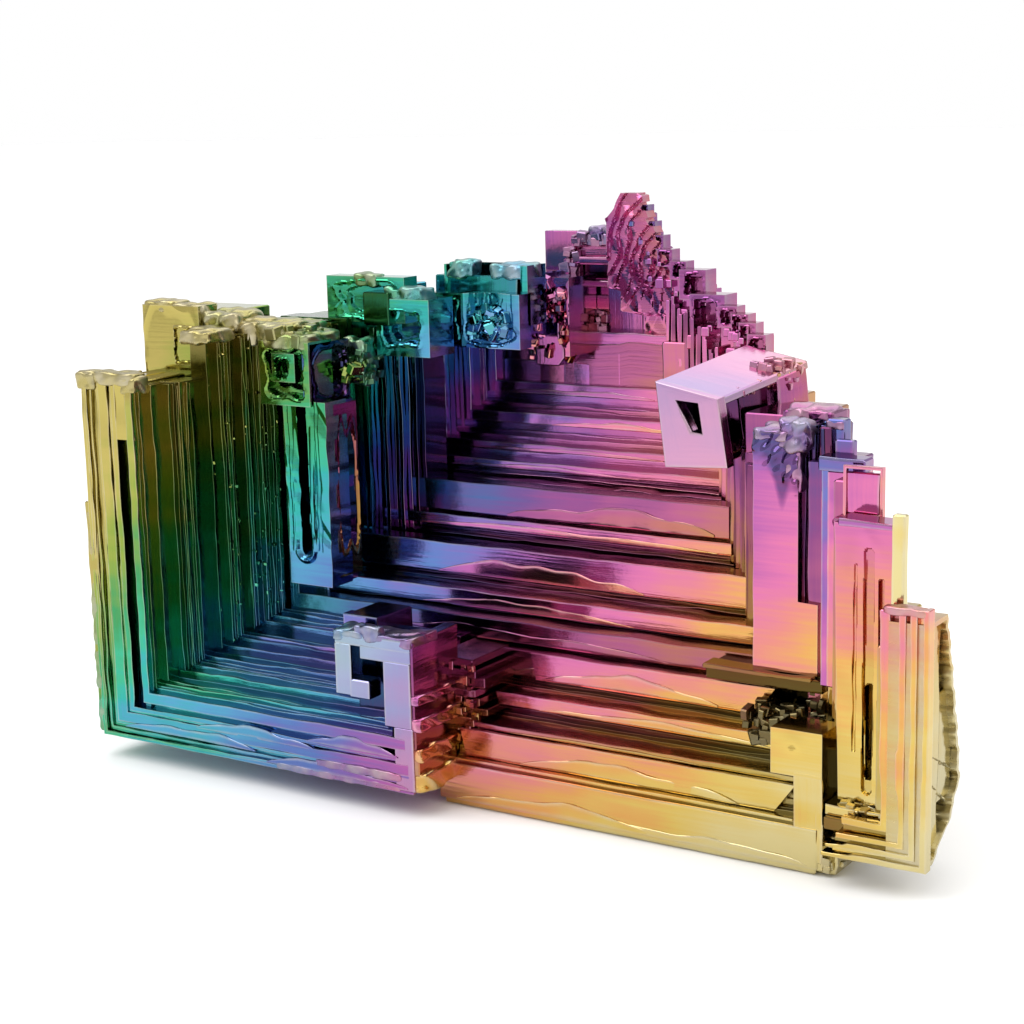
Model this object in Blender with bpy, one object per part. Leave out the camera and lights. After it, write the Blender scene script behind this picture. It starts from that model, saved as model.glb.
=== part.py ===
"""A bismuth hopper crystal about 70 mm wide, grown as one piece of nested square-edged terraces.

The crystal's own axes are the scene's: x along the ledges, y into the hollow, z up.
Places are in millimetres from the lower front edge of the long ledge, and the finished
crystal is moved so that the middle of its underside is the origin.
"""
import math

import bmesh
import bpy
from mathutils import Matrix, Vector

MM = 0.001

LEFT = -46.6
RIGHT = 23.2
FRONT = -4.0
BACK = 30.0
HEIGHT = 44.3

STEP = 1.4
FRAME_STEP = 1.5
FRAME_LEDGES = 8
FLOOR_LEDGES = 19
WALL_RIBS = 20
BACK_PLATES = 5
FLOOR_RISE = 1.0
FLOOR_START = 4.0
LEFT_WALL_SLOPE = 0.56
RIGHT_WALL_SLOPE = -0.8
LEDGE_LIP = 0.7
SLOT_DEPTH = 1.8
GROOVE_WIDTH = 0.28
GROOVE_DEPTH = 0.45
GROOVE_PITCH = 0.83
LEAN_ASIDE = 9.0
LEAN_FORWARD = 3.0
UNEVENNESS = 0.21
DRIFT_RATE = 2.4

CRYSTAL_NAME = "hopper_crystal"


def clear_scene():
    """Remove every object that is already in the scene."""
    for old in list(bpy.data.objects):
        bpy.data.objects.remove(old, do_unlink=True)


def new_collection(name):
    """Return a new collection linked to the scene."""
    group = bpy.data.collections.new(name)
    bpy.context.scene.collection.children.link(group)
    return group


def box(name, x, y, z, group, turn=None):
    """Make a box from its spans in millimetres, turned about its middle where turn is given."""
    mesh = bpy.data.meshes.new(name)
    shape = bmesh.new()
    bmesh.ops.create_cube(shape, size=1.0)
    spans = (x, y, z)
    size = Vector([(high - low) * MM for low, high in spans])
    middle = Vector([(high + low) / 2 * MM for low, high in spans])
    place = Matrix.Translation(middle)
    if turn is not None:
        place = place @ turn
    shape.transform(place @ Matrix.Diagonal((*size, 1.0)))
    shape.to_mesh(mesh)
    shape.free()
    obj = bpy.data.objects.new(name, mesh)
    group.objects.link(obj)
    return obj


def cutter(name, x, y, z, group, turn=None):
    """Make a hidden box that is cut away from the crystal."""
    obj = box(name, x, y, z, group, turn)
    obj.hide_render = True
    obj.display_type = "WIRE"
    return obj


def drift(k, phase):
    """Return the small unevenness, in millimetres, of terrace k."""
    return UNEVENNESS * math.sin(DRIFT_RATE * k + phase)


def left_wall_inner(y):
    """Return the x of the left wall's inner face at depth y."""
    return -40.8 + LEFT_WALL_SLOPE * (y - FRONT)


def right_wall_inner(y):
    """Return the x at which the long ledges end at depth y."""
    return 13.4 + RIGHT_WALL_SLOPE * y


def floor_top(y):
    """Return the height of the long ledge that starts at depth y."""
    return FLOOR_START + FLOOR_RISE * y


def front_left_frame(group):
    """Add the U-shaped frame that stands furthest forward, on the left."""
    box("left_post", (LEFT + 0.4, -40.2), (FRONT, -2.3), (1.9, 31.8), group)
    box("left_post_low", (LEFT, -41.1), (FRONT + 0.1, 2.2), (2.7, 21.3), group)
    box("left_post_rim", (LEFT + 1.2, -42.8), (FRONT + 0.6, -1.9), (1.6, 32.0), group)
    box("left_post_back", (LEFT + 0.55, -40.3), (-2.6, 4.5), (1.75, 30.9), group)
    box("front_bar", (LEFT + 0.5, -15.3), (FRONT, 2.0), (1.8, 5.9), group)
    box("front_bar_ledge", (LEFT + 1.8, -16.5), (FRONT + 0.8, 6.0), (1.2, 6.5), group)
    box("short_post", (-21.8, -15.1), (FRONT, 0.6), (1.7, 13.5), group)
    box("short_post_back", (-20.4, -14.4), (FRONT + 1.2, 1.6), (1.0, 12.6), group)
    box("short_post_foot", (-19.0, -13.6), (FRONT + 2.4, 3.0), (0.8, 10.8), group)
    for k in range(1, FRAME_LEDGES):
        y = FRONT + FRAME_STEP * k + drift(k, 0.3)
        z = 6.1 + 0.8 * k + drift(k, 1.1)
        left = -43.1 - 0.13 * k
        right = -17.0 + 0.31 * k
        box(f"frame_ledge_{k}", (left, right), (y, 14.35 + 0.19 * k), (2.55 + 0.7 * k, z), group)
    box("ball_block", (-23.6, -20.6), (-0.6, 4.3), (8.3, 14.1), group)


def long_floor(group):
    """Add the long ledges that climb away from the front edge."""
    box("front_edge", (-17.4, 15.5), (0.0, 9.0), (0.3, 3.3), group)
    box("front_edge_low", (-15.0, 16.4), (0.9, 9.5), (0.0, 2.2), group)
    box("rough_join", (-15.7, -12.4), (1.2, 9.0), (1.5, 11.2), group)
    for k in range(1, FLOOR_LEDGES + 1):
        y = STEP * k + drift(k, 2.0)
        z = floor_top(y) + drift(k, 4.1)
        left = left_wall_inner(y) - 3.03 if z > 11.5 else -14.07 - 0.11 * k
        right = right_wall_inner(y) + drift(k, 5.0)
        back = min(BACK - 2.3 - 0.07 * k, y + 12.07)
        box(f"ledge_{k}", (left, right), (y, back), (max(0.43 * k, z - 9.0), z), group)
        lip_top = z - 0.23
        lip_span = (y - LEDGE_LIP, back - 0.43)
        box(f"ledge_lip_{k}", (left + 0.6, right - 0.9), lip_span, (lip_top - 0.5, lip_top), group)


def base(group):
    """Add the solid foot under the ledges, on which the crystal rests."""
    box("foot", (-30.05, 11.1), (2.15, 24.05), (0.0, 5.55), group)
    box("foot_step", (-34.12, 8.05), (4.25, 26.15), (2.63, 7.65), group)
    box("foot_back", (-31.17, 4.1), (10.15, 26.93), (5.27, 13.45), group)
    box("foot_crest", (-29.2, -1.55), (16.2, 27.35), (8.46, 19.65), group)


def left_wall(group):
    """Add the left wall's upright ribs, each a step further right and back."""
    for k in range(WALL_RIBS):
        y = -1.9 + STEP * k + drift(k, 0.9)
        inner = left_wall_inner(y) + drift(k, 3.0)
        before_block = y < 2.0
        outer = -41.02 - 0.19 * k if before_block else LEFT + 0.63 + 0.53 * k
        top = 30.9 + drift(k, 0.0) if before_block else 34.3 + 1.3 * drift(k, 5.2)
        back = min(BACK - 2.65 - 0.09 * k, y + 9.04)
        box(f"rib_{k}", (outer, inner), (y, back), (3.48 + 0.65 * k, top), group)
    box("back_block", (LEFT, -40.5), (4.0, 6.3), (4.5, 36.7), group)
    box("back_block_rear", (LEFT + 0.35, -39.1), (5.9, 11.5), (4.7, 35.9), group)
    box("cap", (-35.4, -30.3), (5.0, 10.4), (28.5, 33.7), group)
    box("cap_shelf", (-41.5, -34.2), (6.2, 9.1), (33.1, 35.15), group)
    box("cap_shelf_rear", (-40.15, -31.6), (8.65, 13.0), (32.2, 34.55), group)
    box("hanging_pole", (-33.2, -29.1), (5.3, 9.2), (14.0, 29.5), group)
    box("pole_rib", (-34.6, -31.35), (6.1, 14.0), (11.0, 31.0), group)
    box("column", (-32.1, -28.0), (12.4, 18.4), (14.0, 32.1), group)
    box("green_block", (-34.3, -26.7), (13.0, 14.9), (34.0, 38.2), group)
    box("green_block_rear", (-33.75, -27.55), (14.55, 17.7), (33.2, 37.55), group)
    box("green_root", (-35.6, -28.9), (13.8, 20.5), (28.0, 36.7), group)
    box("small_cube", (-27.2, -22.9), (13.6, 18.0), (32.4, 37.1), group)
    box("teal_block", (-28.0, -18.5), (17.2, 19.7), (32.3, 38.8), group)
    box("teal_block_rear", (-27.35, -19.25), (19.3, 25.4), (32.5, 38.1), group)
    box("teal_root", (-30.6, -20.15), (20.1, 27.25), (24.0, 35.75), group)
    box("rough_block", (-20.5, -17.1), (22.0, 27.7), (30.2, 38.15), group)


def back_wall(group):
    """Add the far wall with its crossbars, the square plate and the tall fin."""
    box("far_wall", (-26.0, -10.0), (25.6, 28.35), (16.0, 35.2), group)
    box("far_wall_upper", (-19.4, -9.4), (26.6, 29.5), (30.0, 38.0), group)
    for k in range(BACK_PLATES):
        across = (-34.3 + 2.1 * k + drift(k, 1.0), -2.4 - 1.9 * k + drift(k, 2.0))
        upright = (9.2 + 1.7 * k + drift(k, 3.0), 33.9 - 1.3 * k + drift(k, 4.0))
        box(f"back_plate_{k}", across, (24.3, BACK - 0.75 * (BACK_PLATES - 1 - k)), upright, group)
    box("crossbar_low", (-18.8, -13.0), (26.1, 28.5), (34.9, 35.9), group)
    box("crossbar_high", (-18.5, -12.6), (26.2, 28.8), (36.5, 40.9), group)
    box("square_plate", (-21.8, -18.2), (26.85, 28.15), (35.5, 41.0), group)
    box("fin", (-14.9, -9.35), (24.4, 26.05), (24.0, 41.0), group)
    box("fin_rear", (-15.3, -11.1), (25.8, 28.9), (23.0, 40.2), group)
    box("fin_shoulder", (-14.1, -10.55), (24.8, 26.3), (36.0, 42.7), group)
    box("fin_tip", (-13.4, -11.3), (25.2, 26.2), (38.0, HEIGHT), group)


def right_crest(group):
    """Add the stair of small cubes that falls from the fin to the right."""
    stair = (
        (-8.5, 39.9, 24.0),
        (-6.8, 38.7, 23.4),
        (-4.9, 37.0, 22.6),
        (-2.35, 35.8, 21.8),
        (0.05, 34.4, 20.9),
        (1.35, 33.0, 20.2),
    )
    for k, (right, top, y) in enumerate(stair):
        left = right - 3.13
        box(f"crest_{k}", (left, right), (y, y + 1.83 - 0.06 * k), (20.1 - 1.3 * k, top), group)
        rear = (y + 1.3, y + 4.63 - 0.16 * k)
        box(f"crest_rear_{k}", (left - 1.2, right - 1.25), rear, (20.3 - 1.3 * k, top - 2.4), group)
    box("crest_far", (0.6, 5.35), (17.6, 21.75), (14.0, 29.7), group)
    aside = Matrix.Rotation(math.radians(LEAN_ASIDE), 4, "Y")
    lean = aside @ Matrix.Rotation(math.radians(LEAN_FORWARD), 4, "X")
    box("leaning_block", (-2.4, 3.0), (9.9, 20.6), (25.2, 31.0), group, lean)
    box("leaning_end", (2.35, 5.3), (17.35, 19.25), (26.4, 32.15), group)
    box("leaning_root", (-3.0, 4.6), (15.6, 22.4), (13.0, 29.4), group)


def right_wall(group):
    """Add the right wall's posts, each a step further right, forward and down."""
    box("shelf_bar", (4.5, 14.6), (4.4, 9.4), (11.2, 12.5), group)
    box("pink_post", (8.2, 12.3), (5.0, 9.3), (12.1, 29.2), group)
    box("pink_post_foot", (8.9, 13.1), (5.4, 9.6), (12.6, 17.4), group)
    box("dark_column", (8.9, 12.85), (7.7, 10.2), (8.0, 30.5), group)
    box("dark_column_rear", (7.9, 11.15), (9.9, 14.6), (8.2, 29.75), group)
    box("inner_wall", (4.2, 9.45), (11.4, 18.4), (6.0, 29.35), group)
    box("inner_wall_low", (1.6, 8.2), (14.2, 21.4), (5.0, 27.2), group)
    box("violet_post", (13.4, 16.75), (4.0, 5.6), (9.0, 27.9), group)
    box("violet_post_rear", (11.9, 14.95), (5.2, 9.85), (9.1, 27.45), group)
    box("violet_top", (12.2, 14.15), (6.4, 7.5), (10.0, 30.1), group)
    box("violet_top_rear", (11.3, 13.15), (7.25, 9.7), (10.2, 29.8), group)
    box("square_face", (15.7, 18.35), (2.95, 3.5), (8.0, 27.2), group)
    box("square_face_rear", (14.75, 17.45), (3.25, 5.25), (8.3, 26.65), group)
    box("square_face_root", (13.1, 16.05), (4.95, 8.95), (8.5, 25.55), group)
    box("broad_post", (16.2, 20.0), (1.0, 3.05), (5.3, 24.6), group)
    box("broad_rim", (19.3, 20.75), (0.6, 1.45), (4.4, 25.2), group)
    box("broad_post_rear", (15.15, 19.2), (2.65, 5.05), (5.5, 23.95), group)
    box("broad_post_root", (13.75, 17.8), (4.65, 8.65), (5.15, 23.05), group)
    box("outer_post", (20.6, RIGHT - 0.1), (-1.0, -0.15), (2.2, 19.7), group)
    box("outer_panel", (20.3, RIGHT), (-0.7, 2.5), (2.6, 18.65), group)
    box("outer_panel_back", (20.1, RIGHT - 0.05), (2.1, 4.9), (5.7, 13.35), group)
    box("outer_side", (19.1, 21.25), (0.4, 7.4), (3.5, 16.6), group)
    box("outer_side_top", (17.6, 20.45), (0.9, 5.7), (4.1, 19.15), group)
    box("outer_bar", (15.9, RIGHT - 0.15), (-1.1, 2.05), (2.1, 4.2), group)
    box("outer_bar_ledge", (15.2, 21.65), (0.3, 6.45), (2.9, 5.6), group)
    box("hook_head", (11.7, 15.5), (0.0, 3.2), (6.8, 10.1), group)
    box("hook_neck", (13.4, 15.6), (0.0, 5.0), (1.1, 8.0), group)
    box("hook_root", (13.9, 16.9), (1.6, 7.2), (0.8, 8.7), group)
    box("corner_end", (14.2, 16.5), (0.5, 4.4), (0.0, 2.6), group)


def slots_and_pits(group):
    """Cut the narrow slots and square pits."""
    deep = FRONT + SLOT_DEPTH
    aside = Matrix.Rotation(math.radians(LEAN_ASIDE), 4, "Y")
    cutter("left_post_slot", (-42.4, -41.3), (FRONT - 1.0, deep), (6.8, 26.6), group)
    cutter("pole_slot", (-31.8, -30.9), (4.0, 7.0), (16.6, 27.4), group)
    cutter("maze_top", (-20.6, -19.8), (FRONT - 1.0, deep), (10.4, 12.2), group)
    cutter("maze_middle", (-20.6, -17.4), (FRONT - 1.0, deep), (9.4, 11.1), group)
    cutter("maze_leg", (-18.9, -17.7), (FRONT - 1.0, deep), (7.7, 9.9), group)
    cutter("cap_pit", (-34.6, -31.4), (4.0, 7.6), (30.1, 32.9), group)
    cutter("back_block_pit", (-44.3, -41.4), (3.0, 6.2), (32.6, 35.4), group)
    cutter("green_pit", (-30.4, -27.4), (12.0, 15.4), (35.2, 36.9), group)
    cutter("cube_pit", (-26.0, -24.2), (12.6, 15.2), (33.8, 35.3), group)
    cutter("teal_pit", (-25.6, -20.4), (16.2, 22.6), (35.4, 38.0), group)
    cutter("broad_post_slot", (18.1, 18.6), (-1.0, 2.4), (6.8, 10.4), group)
    cutter("leaning_pit", (-0.4, 1.4), (8.0, 12.4), (27.2, 30.2), group, aside)


def frame_grooves(group):
    """Cut the fine nested grooves that turn the corner of each front frame."""
    reach = 1.0
    for k in range(3):
        offset = GROOVE_PITCH * k
        x = LEFT + 1.15 + offset
        z = 2.75 + offset
        left_y = (FRONT - reach, FRONT + GROOVE_DEPTH + 0.03 * k)
        cutter(f"left_groove_{k}", (x, x + GROOVE_WIDTH), left_y, (z, 30.9 - offset), group)
        cutter(f"bar_groove_{k}", (x + 0.1, -16.2 - offset), left_y, (z + 0.05, z + GROOVE_WIDTH), group)
    for k in range(2):
        offset = GROOVE_PITCH * k
        x = RIGHT - 0.75 - offset
        z = 4.6 + offset
        right_y = (-1.0 - reach, -1.0 + GROOVE_DEPTH + 0.04 * k)
        cutter(f"right_groove_{k}", (x, x + GROOVE_WIDTH), right_y, (z, 18.9 - offset), group)


def crystal_material():
    """Return the material of the oxide film on the crystal."""
    film = bpy.data.materials.new("bismuth_oxide_film")
    film.use_nodes = True
    surface = film.node_tree.nodes["Principled BSDF"]
    surface.inputs["Base Color"].default_value = (0.62, 0.28, 0.44, 1.0)
    surface.inputs["Metallic"].default_value = 1.0
    surface.inputs["Roughness"].default_value = 0.22
    return film


def combine(obj, operation, group):
    """Join or cut every box of a group with the crystal in one exact Boolean."""
    step = obj.modifiers.new(operation.lower(), "BOOLEAN")
    step.operation = operation
    step.operand_type = "COLLECTION"
    step.collection = group
    step.solver = "EXACT"
    step.use_self = True


def settle(obj):
    """Bake the modifiers and move the crystal over the origin."""
    graph = bpy.context.evaluated_depsgraph_get()
    mesh = bpy.data.meshes.new_from_object(obj.evaluated_get(graph))
    obj.modifiers.clear()
    obj.data = mesh
    middle = Vector(((LEFT + RIGHT) / 2, (FRONT + BACK) / 2, 0.0)) * MM
    mesh.transform(Matrix.Translation(-middle))


def build():
    """Build the crystal."""
    clear_scene()
    crystal_group = new_collection("bismuth_hopper_crystal")
    growth = new_collection("growth_boxes")
    cuts = new_collection("cutters")
    for grow in (front_left_frame, base, left_wall, back_wall, right_crest, right_wall):
        grow(growth)
    long_floor(growth)
    slots_and_pits(cuts)
    frame_grooves(cuts)
    crystal = box(CRYSTAL_NAME, (-27.0, 6.0), (5.0, 22.0), (1.0, 8.0), crystal_group)
    crystal.data.materials.append(crystal_material())
    combine(crystal, "UNION", growth)
    combine(crystal, "DIFFERENCE", cuts)
    settle(crystal)
    for piece in list(growth.objects):
        bpy.data.objects.remove(piece, do_unlink=True)
    bpy.data.collections.remove(growth)


build()
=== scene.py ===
"""Looks of a bismuth hopper crystal: fine terraces, pits and crusts under an iridescent oxide film.

Lengths are in millimetres in the crystal's own axes until a mesh is made: x runs along the long
ledges, y into the hollow, z up, from the lower front edge of the long ledge. Each mesh is then
put in metres over the frame's origin.
"""

import logging
import math
from dataclasses import dataclass, field
from enum import Enum
from typing import Any, Callable, ClassVar, Iterable

import bmesh
import bpy
import numpy as np
from mathutils import Matrix

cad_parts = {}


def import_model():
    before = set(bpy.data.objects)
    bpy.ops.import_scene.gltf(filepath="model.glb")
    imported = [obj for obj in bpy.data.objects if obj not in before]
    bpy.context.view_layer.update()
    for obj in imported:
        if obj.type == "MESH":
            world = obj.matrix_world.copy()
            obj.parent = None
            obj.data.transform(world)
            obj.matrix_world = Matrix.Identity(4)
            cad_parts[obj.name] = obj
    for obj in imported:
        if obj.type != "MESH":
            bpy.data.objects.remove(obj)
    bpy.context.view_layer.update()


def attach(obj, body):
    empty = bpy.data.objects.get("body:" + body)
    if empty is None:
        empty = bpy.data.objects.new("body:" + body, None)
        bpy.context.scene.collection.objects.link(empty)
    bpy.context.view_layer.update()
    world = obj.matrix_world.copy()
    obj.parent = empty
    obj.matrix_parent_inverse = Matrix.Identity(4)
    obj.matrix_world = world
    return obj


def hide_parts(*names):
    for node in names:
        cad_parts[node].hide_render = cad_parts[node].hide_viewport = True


log = logging.getLogger("hopper_crystal")

MM = 0.001
NODE = "hopper_crystal"
ORIGIN = np.array([-11.7, 13.0, 0.0])
LEFT = -46.6
RIGHT = 23.2
FRONT = -4.0

# Lengths over which a terrace's height, its front and its film change, smoothly or in jumps.
HEIGHT_WAVE, HEIGHT_BREAK = 7.0, 9.0
FRONT_WAVE, FRONT_BREAK = 5.0, 7.0
FILM_WAVE = 6.0
MOST_PUSH, MOST_BREAK = 0.05, 0.06
SHARP_DEGREES = 28

# The film's usual thickness at the zero point, and its change for each millimetre on the three axes.
FILM_START = 0.178
FILM_RIGHT = -0.0094
FILM_INWARD = -0.0163
FILM_UP = 0.0140

Span = tuple[float, float]
Point = tuple[float, float, float]
Line = Iterable[Iterable[float]]
Array = np.ndarray
Material = bpy.types.Material
Tone = Callable[[np.ndarray, np.ndarray], np.ndarray] | float


class Axis(Enum):
    """The direction in which a straight terrace runs."""

    ACROSS = 0
    INWARD = 1
    UP = 2


class Facing(Enum):
    """The way a hidden face looks."""

    RIGHT = 0
    BACK = 1
    LEFT = 2


class Finish(Enum):
    """The finishes a piece can wear."""

    FILM = "oxide_film"
    SMOOTH = "smooth_oxide_film"
    PALE = "pale_oxide_film"
    CRUST = "pale_crust"
    FLOOR = "studio_floor"


@dataclass(frozen=True)
class Slab:
    """A straight block: its spans, its film and painted shade, the way it runs and its unevenness."""

    x: Span
    y: Span
    z: Span
    shift: float = 0.0
    # Painted shade, darkening the colour of blocks that lie in recesses or in shadow.
    shade: float = 0.0
    run: Axis = Axis.UP
    sway: float = 0.05
    jump: float = 0.0
    bevel: float = 0.09


@dataclass(frozen=True)
class Pit:
    """A block with a stepped pit in its front, or in its right side."""

    across: Span
    z: Span
    face: float
    depth: float
    back: float
    steps: int = 3
    reach: float = 0.8
    open_top: bool = False
    side: bool = False
    shift: float = 0.0
    # Darkening of the whole block, and extra darkening in the pit's deepest parts: painted shade.
    shade: float = 0.0
    depth_shade: float = 0.3


@dataclass(frozen=True)
class Lump:
    """A half-melted cap: its spans, the size of its lumps and its film."""

    x: Span
    y: Span
    z: Span
    rough: float = 0.15
    shift: float = 0.0


@dataclass(frozen=True)
class Crust:
    """A crust of small cubes: where their middles lie, how many, their sides and their film."""

    x: Span
    y: Span
    z: Span
    count: int
    size: Span = (0.25, 0.9)
    tilt: float = 0.07
    shift: float = 0.0
    # Painted shade, darkening the cubes' colour.
    shade: float = 0.0


def left_wall(y: Array | float) -> Array | float:
    """Return the x of the left wall's inner face at depth y."""
    return -40.8 + 0.56 * (y - FRONT)


def right_end(y: Array | float) -> Array | float:
    """Return the x at which the long ledges end at depth y."""
    return 13.4 - 0.8 * y


def frame_floor(y: Array | float) -> Array | float:
    """Return the height of the front-left frame's ledges at depth y."""
    return 6.1 + 0.5 * (y - FRONT)


def long_floor(y: Array | float) -> Array | float:
    """Return the height of the long ledges at depth y."""
    return 4.0 + y


def film_at(x: Array | float, y: Array | float, z: Array | float) -> Array | float:
    """Return the film's usual thickness at a place, from 0 for gold to 1 for olive."""
    return FILM_START + FILM_RIGHT * x + FILM_INWARD * y + FILM_UP * z


def waves(s: Array, rng: np.random.Generator, length: float, count: int = 5) -> Array:
    """Return smooth unevenness along a terrace, within about -1 to 1.

    The value is a sum of sines whose wavelengths spread around the given length.

    Args:
        s: distance along the terrace.
        rng: the piece's random numbers.
        length: middle wavelength.
        count: number of sines.

    Returns:
        One value for each distance.
    """
    rate = 2 * np.pi / (length * rng.uniform(0.45, 2.2, count))
    phase = rng.uniform(0, 2 * np.pi, count)
    weight = rng.uniform(0.4, 1.0, count)
    total = (weight[:, None] * np.sin(rate[:, None] * s + phase[:, None])).sum(0)
    return total / weight.sum() * 1.6


def breaks(s: Array, rng: np.random.Generator, length: float) -> Array:
    """Return unevenness that stays level and then jumps, as growth steps end along a ledge.

    The value is a level for each stretch between knots, with a short slope at each knot.

    Args:
        s: distance along the terrace.
        rng: the piece's random numbers.
        length: mean stretch between jumps.

    Returns:
        One value for each distance, from -1 to 1.
    """
    reach = float(s.max()) + 1.0
    count = max(2, int(reach / length) + 1)
    knots = np.sort(rng.uniform(0, reach, count))
    level = rng.uniform(-1, 1, count + 1)
    places = np.concatenate([[-1.0], np.repeat(knots, 2) + np.tile([-0.06, 0.06], count), [reach + 1.0]])
    return np.interp(s, places, np.repeat(level, 2))


def rounded_section(width: float, depth: float, bevel: float) -> tuple[Array, Array]:
    """Return a rectangle with small round corners, and how far each point is an edge.

    Each corner is a quarter circle of three points between two points that stand a little off
    it, so that the pale film and painted highlight on the edges stay narrow.

    Args:
        width: size across, from the inner side.
        depth: size from front to back.
        bevel: radius of the corners.

    Returns:
        Points as (across, back) rows in order round the section, and an edge value for each.
    """
    bevel = min(bevel, 0.2 * width, 0.2 * depth)
    stand = min(2.2 * bevel, 0.42 * width, 0.42 * depth)
    turn = np.array([0.0, math.pi / 4, math.pi / 2])
    arc = bevel * np.stack([1 - np.sin(turn), 1 - np.cos(turn)], 1)
    corner = np.vstack([[[0.0, stand]], arc[::-1], [[stand, 0.0]]])
    mirrored = corner[::-1] * [-1, 1] + [width, 0]
    opposite = corner * [-1, -1] + [width, depth]
    last = corner[::-1] * [1, -1] + [0, depth]
    edge = np.tile([0.0, 0.7, 1.0, 0.7, 0.0], 4)
    return np.vstack([corner, mirrored, opposite, last]), edge


def along(corners: Array, spacing: float, bevel: float, closed: bool) -> tuple[Array, Array]:
    """Return the places of the stations along a polyline, as (segment, fraction) rows.

    Args:
        corners: the polyline's points.
        spacing: distance between stations.
        bevel: distance of the first and last inner station from an open end.
        closed: whether the last point joins the first.

    Returns:
        The segment and fraction of each station, and its distance along the line.
    """
    ends = np.roll(corners, -1, 0) if closed else corners[1:]
    starts = corners if closed else corners[:-1]
    lengths = np.linalg.norm(ends - starts, axis=1)
    rows = []
    for k, length in enumerate(lengths):
        steps = np.linspace(0, 1, max(2, int(length / spacing) + 2))
        inset = min(bevel / length, 0.2)
        if not closed and k == 0:
            steps = np.concatenate([[0.0, inset], steps[1:]])
        if not closed and k == len(lengths) - 1:
            steps = np.concatenate([steps[:-1], [1 - inset, 1.0]])
        if closed or k < len(lengths) - 1:
            steps = steps[:-1]
        rows.append(np.stack([np.full(len(steps), k), np.sort(steps)], 1))
    places = np.vstack(rows)
    before = np.concatenate([[0.0], np.cumsum(lengths)])
    index = places[:, 0].astype(int)
    return places, before[index] + places[:, 1] * lengths[index]


def ways(turn: Array, around: int) -> Array:
    """Return unit directions in rings from pole to pole.

    At angle t from the pole and angle a round it, a direction is (cos a sin t, sin a sin t, cos t).

    Args:
        turn: angle of each ring from the pole.
        around: number of places round each ring.

    Returns:
        Directions as rings by places by three axes.
    """
    angle = np.linspace(0, 2 * np.pi, around, endpoint=False)
    ring = np.stack([np.cos(angle), np.sin(angle), np.zeros(around)], 1)
    pole = np.array([0.0, 0.0, 1.0])
    return ring[None] * np.sin(turn)[:, None, None] + pole * np.cos(turn)[:, None, None]


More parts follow.
